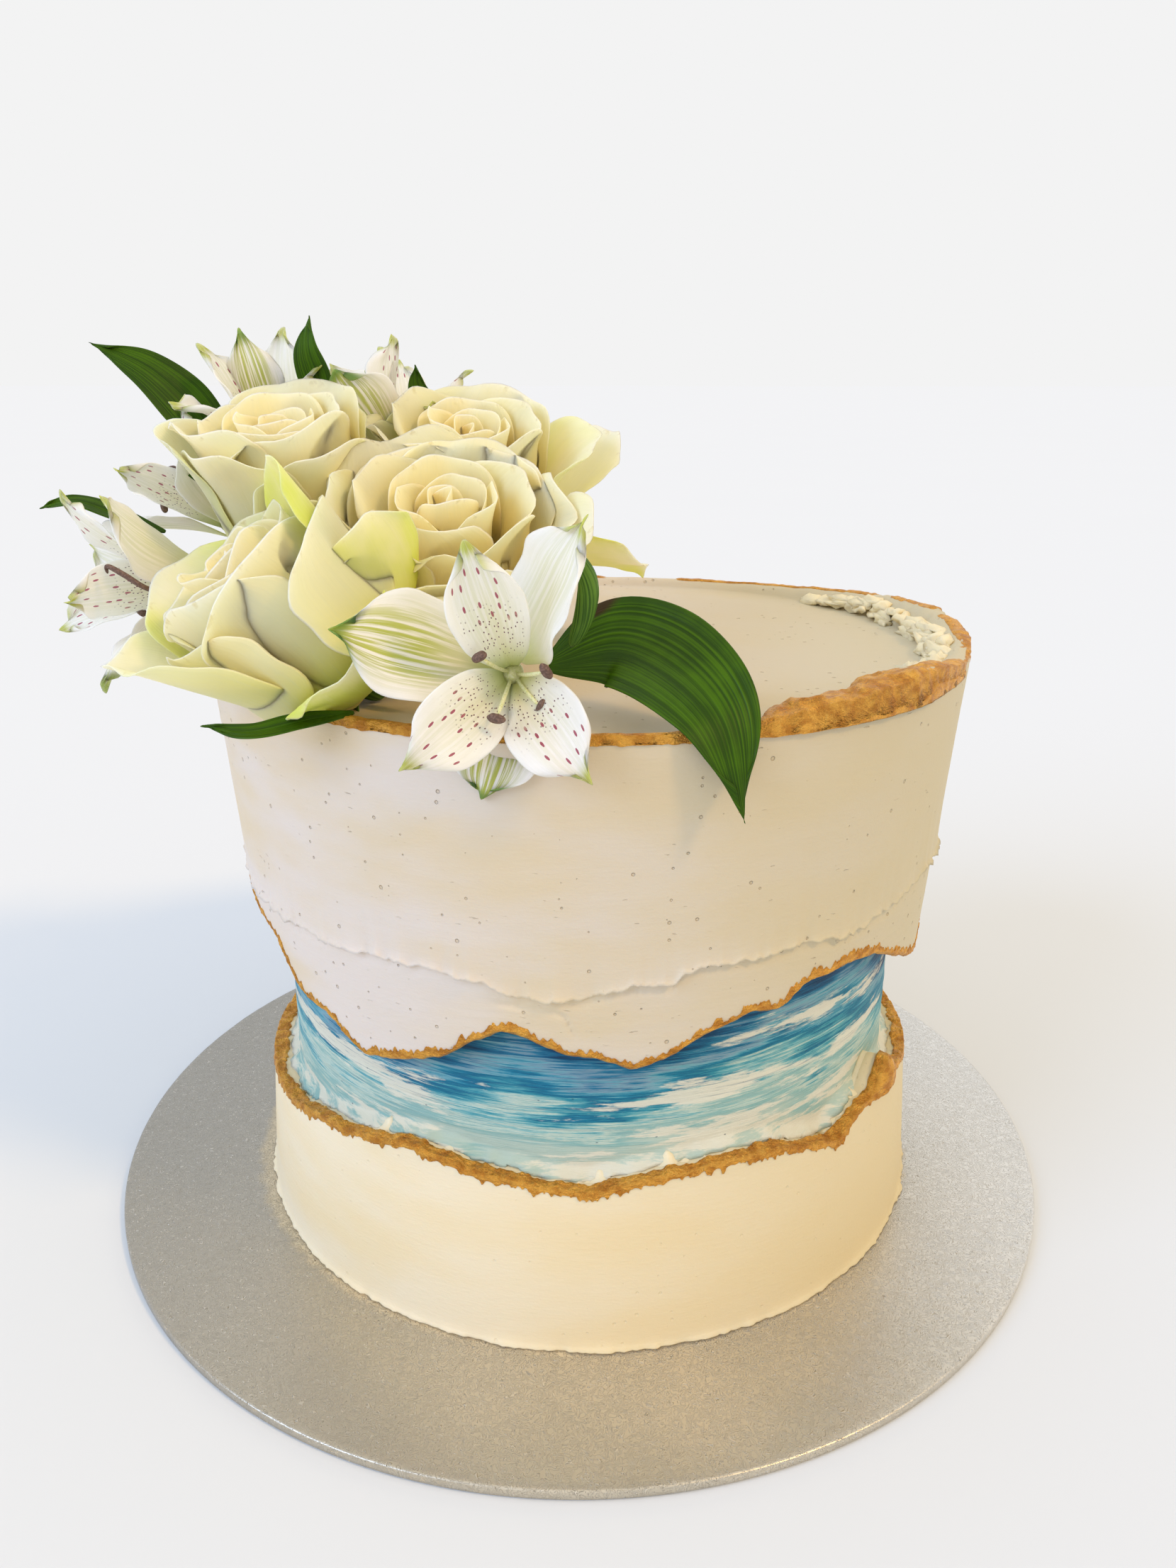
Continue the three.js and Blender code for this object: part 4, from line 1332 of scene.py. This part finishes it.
@dataclass(frozen=True)
class LowerTier:
    """The lower tier's icing: a smooth wall up to the gold ledge, with a lump of gold at the right."""

    foot_radius: float = 89.1
    waist_radius: float = 86.5
    waist_z: float = 43.0
    lump: tuple[float, float, float] = (50.0, 63.0, 5.5)

    def radius(self, height: float) -> float:
        """The outer radius, which narrows up to the waist."""
        return lerp(self.foot_radius, self.waist_radius, clamp((height - FOOT) / (self.waist_z - FOOT)))

    def swell(self, angle: float) -> float:
        """How much of the gold lump stands at an angle, from 0 to 1."""
        start, end, _ = self.lump
        middle = (start + end) / 2
        return smooth(angle, start, middle) - smooth(angle, middle, end)

    def edge(self, angle: float) -> float:
        """Height of the ledge's outer corner."""
        return along(LOWER_EDGE, angle) + GOLD_DROP + 0.45 * ragged(angle, 5) + 0.4 * round_about(angle, 4, 2.4)

    def wall(self, angle: float, height: float) -> float:
        """The wall's radius."""
        return self.radius(height) + lumps(angle, (0.16, 60, 3.8), (0.05, 20, 1.2), height=height)

    def profile(self, angle: float) -> list[Spot]:
        """The icing's profile at an angle, closed on itself."""
        edge, swell = self.edge(angle), self.swell(angle)
        rise = self.lump[2] * swell
        bead = max(0.1, 0.7 + lumps(angle, (0.6, 6, 2.9), (0.6, 1.6, 4.7)))
        skirt = self.foot_radius + bead
        line = [Spot(ICING_CORE, FOOT - 0.1), Spot(skirt, FOOT - 0.1), Spot(skirt, FOOT + 0.2)]
        for row in range(30):
            height = lerp(FOOT + 0.7, edge - 1.2, (row / 29) ** 1.3)
            line.append(Spot(self.wall(angle, height) + bead * math.exp((FOOT - height) / 0.9), height))
        outer = self.radius(edge)
        line.append(Spot(outer - 0.1 + 2.0 * swell, edge - 0.3))
        line.append(Spot(outer - 0.9 + 1.6 * swell, edge + 0.1 + 0.5 * rise))
        line += [Spot(lerp(ICING_CORE, outer, 0.55), edge + 0.1 + rise), Spot(ICING_CORE + 1.2, edge - 0.2 + rise)]
        line.append(Spot(ICING_CORE, edge - 0.4 + 0.5 * ragged(angle, 6) + rise))
        return [*line, line[0]]

    def build(self, palette: Palette) -> None:
        """Makes the icing, its gold, and the cream that was pulled up on the band."""
        turn_piece("lower_tier_icing", 600, self.profile, palette.smooth_wall, replaces=["lower_icing"])
        self.build_gold(palette)
        self.build_cream(palette)

    def build_gold(self, palette: Palette) -> None:
        """Brushes gold on the ledge and over its corner, with small drips down the wall."""
        def profile(angle: float) -> list[Spot]:
            """A closed skin over the ledge."""
            edge, swell = self.edge(angle), self.swell(angle)
            rise = self.lump[2] * swell
            outer = self.radius(edge)
            drip = 1.9 * max(0.0, round_about(angle, 0.8, 9.9))
            reach = max(0.4, 1.1 + lumps(angle, (0.8, 9, 8.2), (1.1, 2.0, 5.1)) + drip) + 2.2 * swell
            inner = 3.2 + lumps(angle, (1.2, 7, 1.5), (0.7, 1.8, 4.8))
            line = []
            for row in range(8):
                height = edge - lerp(reach, 0.5, row / 7)
                thick = 0.24 + lumps(angle, (0.24, 2.0, 3.4), (0.15, 0.9, 7.4), height=height * 2)
                thick = TUCK if row == 0 else max(THIN_GOLD, thick + 2.0 * swell * smooth(row, 0, 5))
                line.append(Spot(self.wall(angle, height) + thick, height))
            for row in range(9):
                share = row / 8
                away = lerp(outer + 0.1 + 2.2 * swell, ICING_CORE + inner, share)
                thick = 0.4 + 0.4 * round_about(angle, 2.2, 6.7, away * 2)
                thick += 0.35 * round_about(angle, 1.0, 2.1, away * 3)
                thick = -0.5 if row == 8 else max(0.15, thick) + 0.5 * swell
                line.append(Spot(away, edge + 0.1 + thick + rise * smooth(share, -0.3, 0.45)))
            line += [Spot(ICING_CORE + 1.5, edge - 1.4), Spot(outer - 1.2, edge - 1.6)]
            return [*line, Spot(line[0].radius - 0.4, line[0].height + 0.1), line[0]]

        turn_piece("lower_edge_gold", 1800, profile, palette.gold)

    def build_cream(self, palette: Palette) -> None:
        """Leaves torn cream between the gold and the blue band."""
        def profile(angle: float) -> list[Spot]:
            """A closed thin skin on the band's foot."""
            edge = self.edge(angle) + self.lump[2] * self.swell(angle)
            tall = clamp(-0.2 + lumps(angle, (2.8, 13, 2.7), (1.7, 3.4, 7.9), (0.6, 1.2, 1.1)), 0.1, 6)
            line = []
            for row in range(8):
                share = row / 7
                thick = 0.5 + 0.8 * (1 - share) + 0.35 * round_about(angle, 2.0, 6.2, 6 * share)
                thick = thick * clamp(tall / 1.6) if row < 7 else -0.6
                line.append(Spot(CORE + 0.35 + thick + 2.9 * (1 - share) ** 2, edge - 0.3 + tall * share))
            return [*line, Spot(CORE, edge - 0.5), line[0]]

        turn_piece("torn_cream", 1000, profile, palette.crumb)


# ---------------------------------------------------------------- flowers


@dataclass(frozen=True)
class GuardPetal:
    """An outer petal of a rose: where it stands round the flower and how it leans."""

    azimuth: float
    length: float
    width: float
    lean: tuple[float, float, float]
    cup: float
    green: float = 0.6
    twist: float = 0.0


def grow_stalk(form: Form, at: Sequence[float]) -> None:
    """Grows the stalk from a flower's foot down to the cake's top, leaning in towards the bouquet's middle."""
    head = Vector(at)
    foot = head.lerp(Vector(STALK_FOOT), STALK_LEAN)
    foot.z = STALK_FOOT[2]
    bow = Vector((0.06, 0.04, 0)) * (head - foot).length
    points = [head.lerp(foot, i / 8) + bow * math.sin(math.pi * i / 8) for i in range(9)]
    form.tube([points[0], *points, points[-1]], [0, *([STALK_RADIUS] * 9), 0], coat=GREEN_COAT)


@dataclass(frozen=True)
class Rose:
    """A white rose.

    Attributes:
        node: the CAD node that it stands for.
        at: its foot.
        axis: where it opens to.
        length: from its foot to its lip.
        belly: radius of its head as a share of the length.
        openness: 0 for a bud, 1 for a flower that is fully open.
        guards: its outer petals.
        drop: how much lower the outer petals of the heart end than its middle, as a share of the length.
        heart: number of inner petals.
    """

    node: str
    at: tuple[float, float, float]
    axis: tuple[float, float, float]
    length: float
    belly: float
    openness: float
    guards: tuple[GuardPetal, ...]
    drop: float = 0.0
    heart: int = 16

    def inner_petal(self, index: int) -> tuple[float, Blade, dict[str, float]]:
        """A petal of the heart, from the tight middle outwards.

        Args:
            index: its number, 0 for the innermost.

        Returns:
            Its azimuth, its blade and its painted values.
        """
        share = index / (self.heart - 1)
        chance = random.Random(100 * len(self.node) + index)
        away = lerp(1.6, self.belly * self.length, share**0.85)
        length = self.length * (lerp(0.88, 1.02, share) - self.drop * share * share) + chance.uniform(-1.4, 1.4)
        reach = clamp(0.6 * away / (length / 2) / 0.62, 0, 0.98)
        mouth = lerp(-4, lerp(8, 84, self.openness), share**0.75)
        lean = (math.degrees(math.asin(reach)), lerp(-2, 2 + 7 * self.openness, share), mouth + chance.uniform(-9, 9))
        width = clamp(lerp(15, self.length * 1.08, share**0.62), 14, 48)
        cup = clamp(math.degrees(width / 2 / (away + 1.2)), 46, 150)
        spine = Spine.leaning(length, lean, (0.6 + 0.4 * away, 0, 0.04 * away), lerp(1.6, 2.6, self.openness))
        blade = Blade(
            spine, width, ROSE_OUTLINE, (cup * 1.05, cup * lerp(0.97, 0.74, share)),
            wave=0.6 + 1.7 * share, ripple=0.5 + 1.5 * share * self.openness, roll=0.4 + 1.6 * share * self.openness,
            spiral=lerp(0.9, 2.0, share), point=chance.choice((0, 0, 0.02)), phase=2.4 * index, thickness=0.32,
        )
        return GOLDEN_ANGLE * index, blade, {"warm": lerp(1, 0.35, share), "green": 0.06 + 0.12 * share}

    def guard_petal(self, index: int) -> tuple[float, Blade, dict[str, float]]:
        """An outer petal: its azimuth, its blade and its painted values."""
        guard = self.guards[index]
        spine = Spine.leaning(guard.length, guard.lean, (4, 0, 0))
        blade = Blade(
            spine, guard.width, ROSE_OUTLINE, (guard.cup + 12, guard.cup),
            wave=1.5, ripple=0.8, roll=1.8, point=0.02, phase=1.7 * index, twist=guard.twist, thickness=0.36,
        )
        return guard.azimuth, blade, {"warm": 0.0, "green": guard.green}

    def build(self, palette: Palette) -> None:
        """Makes the rose with its hip, sepals and stalk."""
        form = Form(self.node + "_bloom", ("warm", "green", "out", "side", "scorch"))
        stand = stance(self.at, self.axis)
        petals = [self.inner_petal(i) for i in range(self.heart)]
        petals += [self.guard_petal(i) for i in range(len(self.guards))]
        for azimuth, blade, paint in petals:
            blade.lay(form, stand @ spun(azimuth), PETAL_GRID, paint)
        heights = (-4.5, -4.4, -3, -0.5, 1.5, 3, 3.2)
        form.tube([stand @ Vector((0, 0, z)) for z in heights], [0, 1.6, 3.0, 4.0, 3.8, 2.6, 0], 12, GREEN_COAT)
        for sepal in range(5):
            spine = Spine.leaning(13, (96, 128, 152), (3.2, 0, 0.6))
            blade = Blade(spine, 4.6, TEPAL_OUTLINE, (24, 14), phase=sepal, wave=0.5, thickness=0.5)
            blade.lay(form, stand @ spun(72 * sepal + 20), SEPAL_GRID, {}, GREEN_COAT)
        grow_stalk(form, self.at)
        form.finish([palette.rose, palette.stalk], Slot.ROSE, [self.node], levels=1)


@dataclass(frozen=True)
class Tepal:
    """One of an alstroemeria's six tepals."""

    azimuth: float
    reach: float
    lean: tuple[float, float, float]
    inner: bool = False
    broad: float = 1.0
    green: float = 0.35
    twist: float = 0.0


OPEN_TEPALS = (
    Tepal(30, 0.96, (24, 40, 72)), Tepal(150, 0.96, (24, 40, 72), green=0.7), Tepal(270, 0.96, (24, 40, 72)),
    Tepal(90, 1, (16, 26, 56), True, green=0.2), Tepal(212, 1, (16, 26, 56), True, green=0.2),
    Tepal(328, 1, (16, 26, 56), True, green=0.2),
)


@dataclass(frozen=True)
class Curl:
    """A dried stamen or a tepal's rolled tip.

    Attributes:
        route: points from the bloom to its end.
        girth: its thickest radius.
        green: whether it is a green tip rather than a brown stamen.
    """

    route: tuple[tuple[float, float, float], ...]
    girth: float = 0.5
    green: bool = False

    def build(self, form: Form) -> None:
        """Adds it to a bloom."""
        points = [station.point for station in Spine.routed(self.route, (0.1, -0.9, 0.3)).stations[::4]]
        last = len(points) - 1
        radii = [self.girth * (0.4 + 0.6 * math.sin(math.pi * step / last)) for step in range(last)]
        form.tube(points, [0.0, *radii[1:], 0.0], coat=GREEN_COAT if self.green else ANTHER_COAT)


@dataclass(frozen=True)
class Alstroemeria:
    """A white alstroemeria, with three broad and three narrow spotted tepals round its stamens.

    Attributes:
        node: the CAD node that it stands for.
        at: its throat.
        axis: where it opens to.
        length: of its longest tepal.
        turn: degrees about its axis.
        tepals: its tepals.
        stamens: azimuth, length and lean of each.
        curls: dried stamens and rolled tips that stick out of it.
    """

    node: str
    at: tuple[float, float, float]
    axis: tuple[float, float, float]
    length: float
    turn: float = 0.0
    tepals: tuple[Tepal, ...] = OPEN_TEPALS
    stamens: tuple[tuple[float, float, float], ...] = ((20, 19, 16), (140, 17, 20), (250, 20, 12), (320, 15, 26))
    curls: tuple[Curl, ...] = ()

    def build(self, palette: Palette) -> None:
        """Makes the flower with its stamens, its pale funnel and its stalk."""
        form = Form(self.node + "_bloom", ("inner", "green", "out", "side", "scorch"))
        stand = stance(self.at, self.axis, self.turn)
        for index, tepal in enumerate(self.tepals):
            width = self.length * (0.4 if tepal.inner else 0.56) * tepal.broad
            base = (1, 0, 1.5) if tepal.inner else (2.4, 0, 0)
            spine = Spine.leaning(self.length * tepal.reach, tepal.lean, base)
            blade = Blade(
                spine, width, TEPAL_OUTLINE, (50, 20 if tepal.inner else 12), wave=1.6, ripple=0.9, crease=0.6,
                point=0.04, phase=2.3 * index, twist=tepal.twist, thickness=0.4,
            )
            paint = {"inner": float(tepal.inner), "green": tepal.green}
            blade.lay(form, stand @ spun(tepal.azimuth), TEPAL_GRID, paint)
        for azimuth, length, lean in self.stamens:
            turn = stand @ spun(azimuth)
            line = Spine.leaning(length, (4, lean, lean + 34), (0.8, 0, 1)).stations[::4]
            points = [turn @ station.point for station in line]
            form.tube(points, [0.45] * (len(points) - 1) + [0.0], 6, FILAMENT_COAT)
            ahead = (points[-1] - points[-2]).normalized()
            tilt = aimed(ahead.cross(Vector((0.2, 0.9, 0.3))))
            form.lump(points[-1], Vector((1.0, 0.85, 1.9)), 0.25, azimuth, tilt, ANTHER_COAT)
        heights = (-6.2, -6, -5, 1, 4.5, 6.6)
        form.tube([stand @ Vector((0, 0, z)) for z in heights], [0, 1.0, 1.8, 2.4, 1.8, 0], 12, FILAMENT_COAT)
        for curl in self.curls:
            curl.build(form)
        grow_stalk(form, self.at)
        coats = [palette.tepal, palette.stalk, palette.filament, palette.anther]
        form.finish(coats, Slot.ALSTROEMERIA, [self.node], levels=1)


@dataclass(frozen=True)
class Leaf:
    """A leaf that follows a curve through four points from stalk to tip."""

    node: str
    route: tuple[tuple[float, float, float], ...]
    face: tuple[float, float, float]
    width: float
    scorched: bool = False

    def build(self, palette: Palette) -> None:
        """Makes the leaf."""
        form = Form(self.node + "_blade", ("out", "side", "scorch"))
        blade = Blade(
            Spine.routed(self.route, self.face), self.width, LEAF_OUTLINE, (26, 10),
            wave=0.6, ripple=0.15, crease=0.35, phase=1, thickness=0.45,
        )
        rows = 30 if self.width > 10 else 16

        def painted(across: float, out: float) -> dict[str, float]:
            """The scorched patch near the stalk, along the lower edge."""
            burn = bell(out, 0.2, 0.09) * smooth(across, 0.3, 0.0) if self.scorched else 0.0
            return {"out": out, "side": abs(2 * across - 1), "scorch": burn}

        form.slab(form.grid(12, rows, blade.place, painted), blade.thickness)
        form.finish([palette.leaf], Slot.LEAF, [self.node], levels=1)


@dataclass(frozen=True)
class Bouquet:
    """The flowers and leaves on the left front of the top."""

    roses: tuple[Rose, ...] = (
        Rose("rose_front_left", (-43.5, -62, 149), (-0.68, -0.2, 0.7), 44, 0.47, 0.2, (
            GuardPetal(262, 33, 60, (82, 10, -14), 64, 0.3), GuardPetal(200, 50, 46, (64, 22, 26), 50, 0.4),
            GuardPetal(236, 45, 50, (72, 4, -6), 60, 0.2), GuardPetal(292, 27, 36, (90, 52, 70), 50, 1.0),
            GuardPetal(26, 49, 38, (56, 12, 6), 46, 1.0), GuardPetal(345, 36, 28, (82, 34, 16), 44, 1.0, 35),
            GuardPetal(137, 50, 36, (62, 16, 20), 50, 0.8), GuardPetal(95, 44, 36, (66, 14, 14), 52, 0.7),
        ), 0.16, heart=14),
        Rose("rose_centre", (-29, -28, 152), (0.03, -0.46, 0.88), 43, 0.5, 0.85, (
            GuardPetal(198, 49, 46, (74, 10, 20), 50, 0.3), GuardPetal(268, 49, 54, (74, 12, 84), 58, 0.2),
            GuardPetal(332, 49, 46, (74, 14, 66), 52, 0.25), GuardPetal(52, 43, 44, (66, 6, 44), 54, 0.2),
            GuardPetal(128, 43, 44, (66, 6, 40), 54, 0.2),
        )),
        Rose("rose_back_left", (-65, -14, 165), (-0.1, -0.27, 0.96), 41, 0.38, 0.55, (
            GuardPetal(182, 45, 34, (62, 14, 34), 48, 0.5), GuardPetal(245, 43, 36, (68, 10, 34), 52, 0.3),
            GuardPetal(60, 41, 34, (62, 8, 36), 50, 0.4), GuardPetal(310, 40, 36, (68, 10, 38), 52, 0.4),
            GuardPetal(120, 41, 32, (62, 8, 30), 50, 0.4),
        ), heart=13),
        Rose("rose_back_right", (-28, 7, 166), (0.04, -0.36, 0.93), 40, 0.42, 0.6, (
            GuardPetal(2, 44, 36, (68, 22, 60), 46, 0.5), GuardPetal(338, 44, 32, (86, 74, 84), 26, 1.0, 40),
            GuardPetal(22, 46, 28, (82, 40, 50), 36, 0.2), GuardPetal(190, 40, 34, (64, 10, 40), 50, 0.6),
            GuardPetal(270, 38, 36, (72, 10, 44), 54, 0.4), GuardPetal(80, 41, 36, (62, 12, 44), 48, 0.5),
            GuardPetal(130, 40, 34, (62, 12, 40), 48, 0.5),
        ), heart=13),
    )
    alstroemerias: tuple[Alstroemeria, ...] = (
        Alstroemeria("alstroemeria_front", (-12.6, -77, 154.5), (0.02, -0.98, 0.12), 38, tepals=(
            Tepal(66, 1.0, (34, 52, 70), green=0.35, twist=60),
            Tepal(163, 0.95, (36, 62, 66), broad=1.0, green=1.0, twist=-24),
            Tepal(256, 0.74, (20, 44, 140), broad=0.9, green=1.0), Tepal(106, 0.98, (22, 46, 60), True, green=0.3),
            Tepal(218, 0.92, (16, 38, 80), True, 1.05, 0.2), Tepal(312, 0.86, (16, 38, 86), True, 1.1, 0.2),
        ), curls=(Curl(((-1.6, -83, 160), (1.2, -83.5, 167), (1.8, -84, 174), (-1.6, -84, 180.2)), 2.3, True),)),
        Alstroemeria("alstroemeria_left", (-86, -22, 163), (-0.85, -0.4, 0.1), 36, 75, curls=(
            Curl(((-88, -32, 163), (-91.4, -47, 165.3),
                  (-96.4, -48, 168.6), (-100.6, -47, 170.6), (-101, -46, 168.5)), 0.7),
        )),
        Alstroemeria("alstroemeria_mid_left", (-88, 6, 172), (-0.72, -0.1, 0.68), 31, 50),
        Alstroemeria("alstroemeria_top_left", (-77, 18, 185), (-0.1, -0.3, 0.95), 35, 0, (
            Tepal(176, 0.98, (22, 16, 30), True, 1.4, 0.3), Tepal(62, 0.98, (16, 14, 24), broad=1.15, green=0.2),
            Tepal(300, 0.8, (26, 34, 50), broad=1.1, green=0.5), Tepal(222, 0.98, (24, 44, 70), True, 1.3, 0.2),
            Tepal(118, 1.0, (14, 12, 22), broad=0.75, green=1.0), Tepal(340, 0.9, (20, 30, 52), True, 1.2, 0.2),
        )),
        Alstroemeria("alstroemeria_top", (-45, 8, 186), (-0.56, 0.2, 0.8), 34, 0, (
            Tepal(150, 0.98, (20, 12, 16), broad=1.05, green=0.2),
            Tepal(276, 0.85, (24, 36, 44), broad=1.15, green=1.0),
            Tepal(30, 0.95, (20, 20, 30), broad=1.1, green=0.3), Tepal(345, 0.9, (22, 34, 50), True, 1.4, 0.2),
            Tepal(95, 1.0, (16, 12, 18), True, 1.3, 0.2), Tepal(215, 0.85, (20, 26, 36), True, 1.2, 0.3),
        )),
        Alstroemeria("alstroemeria_back", (-44, 26, 184), (0.02, -0.1, 0.99), 30, 20),
    )
    leaves: tuple[Leaf, ...] = (
        Leaf("leaf_right", ((-6, -72, 155), (10, -74, 159), (25, -91, 151), (30.5, -99.5, 131.5)),
             (0.12, -0.8, 0.58), 23.5, True),
        Leaf("leaf_top_left", ((-89, 12, 184), (-96, 12, 198), (-107, 11, 210), (-121, 10, 217)),
             (0.4, -0.8, 0.5), 15),
        Leaf("leaf_front_left", ((-43, -81, 147.6), (-52, -85, 147), (-62, -87, 145.4), (-72, -84, 146)),
             (-0.2, -0.6, 0.8), 5),
        Leaf("leaf_far_left", ((-98, -16, 174), (-108, -18, 178), (-117, -20, 181.5), (-125, -21, 180)),
             (0, -0.4, 0.9), 7),
        Leaf("leaf_mid_left", ((-89, -6, 183), (-92, -6, 187), (-95, -5, 190), (-98, -4, 194)),
             (0, -0.9, 0.3), 5),
        Leaf("leaf_top_upright", ((-64, 6, 199), (-64, 5, 207), (-66, 4, 215), (-65, 5, 223)),
             (-0.3, -0.9, 0.1), 9),
        Leaf("leaf_top_back", ((-41, 20, 198), (-41, 20, 203), (-42, 20, 207), (-42, 20, 212)),
             (0.3, -0.9, 0.1), 6),
        Leaf("leaf_behind", ((-44, 30, 152), (-40, 44, 166), (-36, 60, 170), (-34, 74, 160)),
             (0.1, 0.5, 0.87), 19),
        Leaf("leaf_behind_left", ((-66, 24, 150), (-76, 36, 164), (-84, 46, 170), (-92, 56, 166)),
             (-0.4, 0.5, 0.8), 17),
    )

    def build(self, palette: Palette) -> None:
        """Makes every flower and leaf."""
        for plant in (*self.roses, *self.alstroemerias, *self.leaves):
            plant.build(palette)


# ---------------------------------------------------------------- studio


@dataclass(frozen=True)
class Lamp:
    """A wide soft light from far away.

    Attributes:
        name: its name.
        source: the direction that it comes from.
        width: how wide it looks from the cake, in degrees.
        power: its strength.
        colour: its colour.
    """

    name: str
    source: tuple[float, float, float]
    width: float
    power: float
    colour: str

    def build(self) -> None:
        """Hangs the light in the studio."""
        light = bpy.data.lights.new(self.name, "SUN")
        light.angle, light.energy = math.radians(self.width), self.power
        light.color = linear(self.colour)[:3]
        lamp = bpy.data.objects.new(self.name, light)
        lamp.location = self.source
        lamp.rotation_euler = Vector(self.source).to_track_quat("Z", "Y").to_euler()
        bpy.context.scene.collection.objects.link(lamp)


@dataclass(frozen=True)
class Studio:
    """The pale floor, the soft lights and the camera."""

    eye: tuple[float, float, float] = (1.22, -300.65, 208.01)
    right: tuple[float, float, float] = (1.0, -0.00281, 0.00088)
    up: tuple[float, float, float] = (0.00007, 0.32297, 0.94641)
    forward: tuple[float, float, float] = (0.00294, 0.9464, -0.32297)
    focal: float = 27.12
    sensor: float = 36.0
    lamps: tuple[Lamp, ...] = (
        Lamp("Daylight_left", (-1.0, -0.7, 0.62), 36, 1.6, "#b4d0ff"),
        Lamp("Lamplight_right", (0.9, -0.6, 1.05), 9, 1.0, "#ffd489"),
    )

    def build_camera(self) -> None:
        """Sets up the camera where the photograph was taken."""
        camera = bpy.data.objects.new("Camera", bpy.data.cameras.new("Camera"))
        camera.data.sensor_fit = "VERTICAL"
        camera.data.sensor_height = self.sensor
        camera.data.lens = self.focal
        camera.data.clip_start, camera.data.clip_end = 0.01, 50
        right, up, back = Vector(self.right), Vector(self.up), -Vector(self.forward)
        turn = Matrix((right, up, back)).transposed().to_4x4()
        camera.matrix_world = Matrix.Translation(Vector(self.eye) * MM) @ turn
        bpy.context.scene.collection.objects.link(camera)
        bpy.context.scene.camera = camera

    def build_floor(self) -> None:
        """Lays the pale floor out to the horizon."""
        mesh = bmesh.new()
        bmesh.ops.create_grid(mesh, x_segments=4, y_segments=4, size=FLOOR_REACH)
        data = bpy.data.meshes.new("floor")
        mesh.to_mesh(data)
        mesh.free()
        floor = bpy.data.objects.new("floor", data)
        bpy.context.scene.collection.objects.link(floor)
        mix = Recipe("Paper_white", 0.9)
        grain = add(mix.tree, "TexNoise", links={"Vector": add(mix.tree, "TexCoord").outputs["Object"], "Scale": 3.0})
        mix.give({"Base Color": mix.blend(grain, "#dfe2e4", "#dee1e3"), "Specular IOR Level": 0.0})
        data.materials.append(mix.material)

    def build(self) -> None:
        """Makes the whole studio."""
        scene = bpy.context.scene
        scene.view_settings.view_transform = "Standard"
        world = bpy.data.worlds.new("Studio")
        world.use_nodes = True
        plug(world.node_tree, world.node_tree.nodes["Background"], {"Color": BACKDROP, "Strength": 1.0})
        scene.world = world
        self.build_camera()
        self.build_floor()
        for lamp in self.lamps:
            lamp.build()


# ---------------------------------------------------------------- putting it together


def main() -> None:
    """Builds the studio and the cake, and logs each part as it is built."""
    logging.basicConfig(level=logging.INFO, format="%(message)s")
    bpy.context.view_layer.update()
    Studio().build()
    palette = Palette.mixed()
    for part in (Board(), CakeBody(), LowerTier(), UpperTier(), Bouquet()):
        part.build(palette)
        LOG.info("built %s", type(part).__name__)


if __name__ == "__main__":
    main()
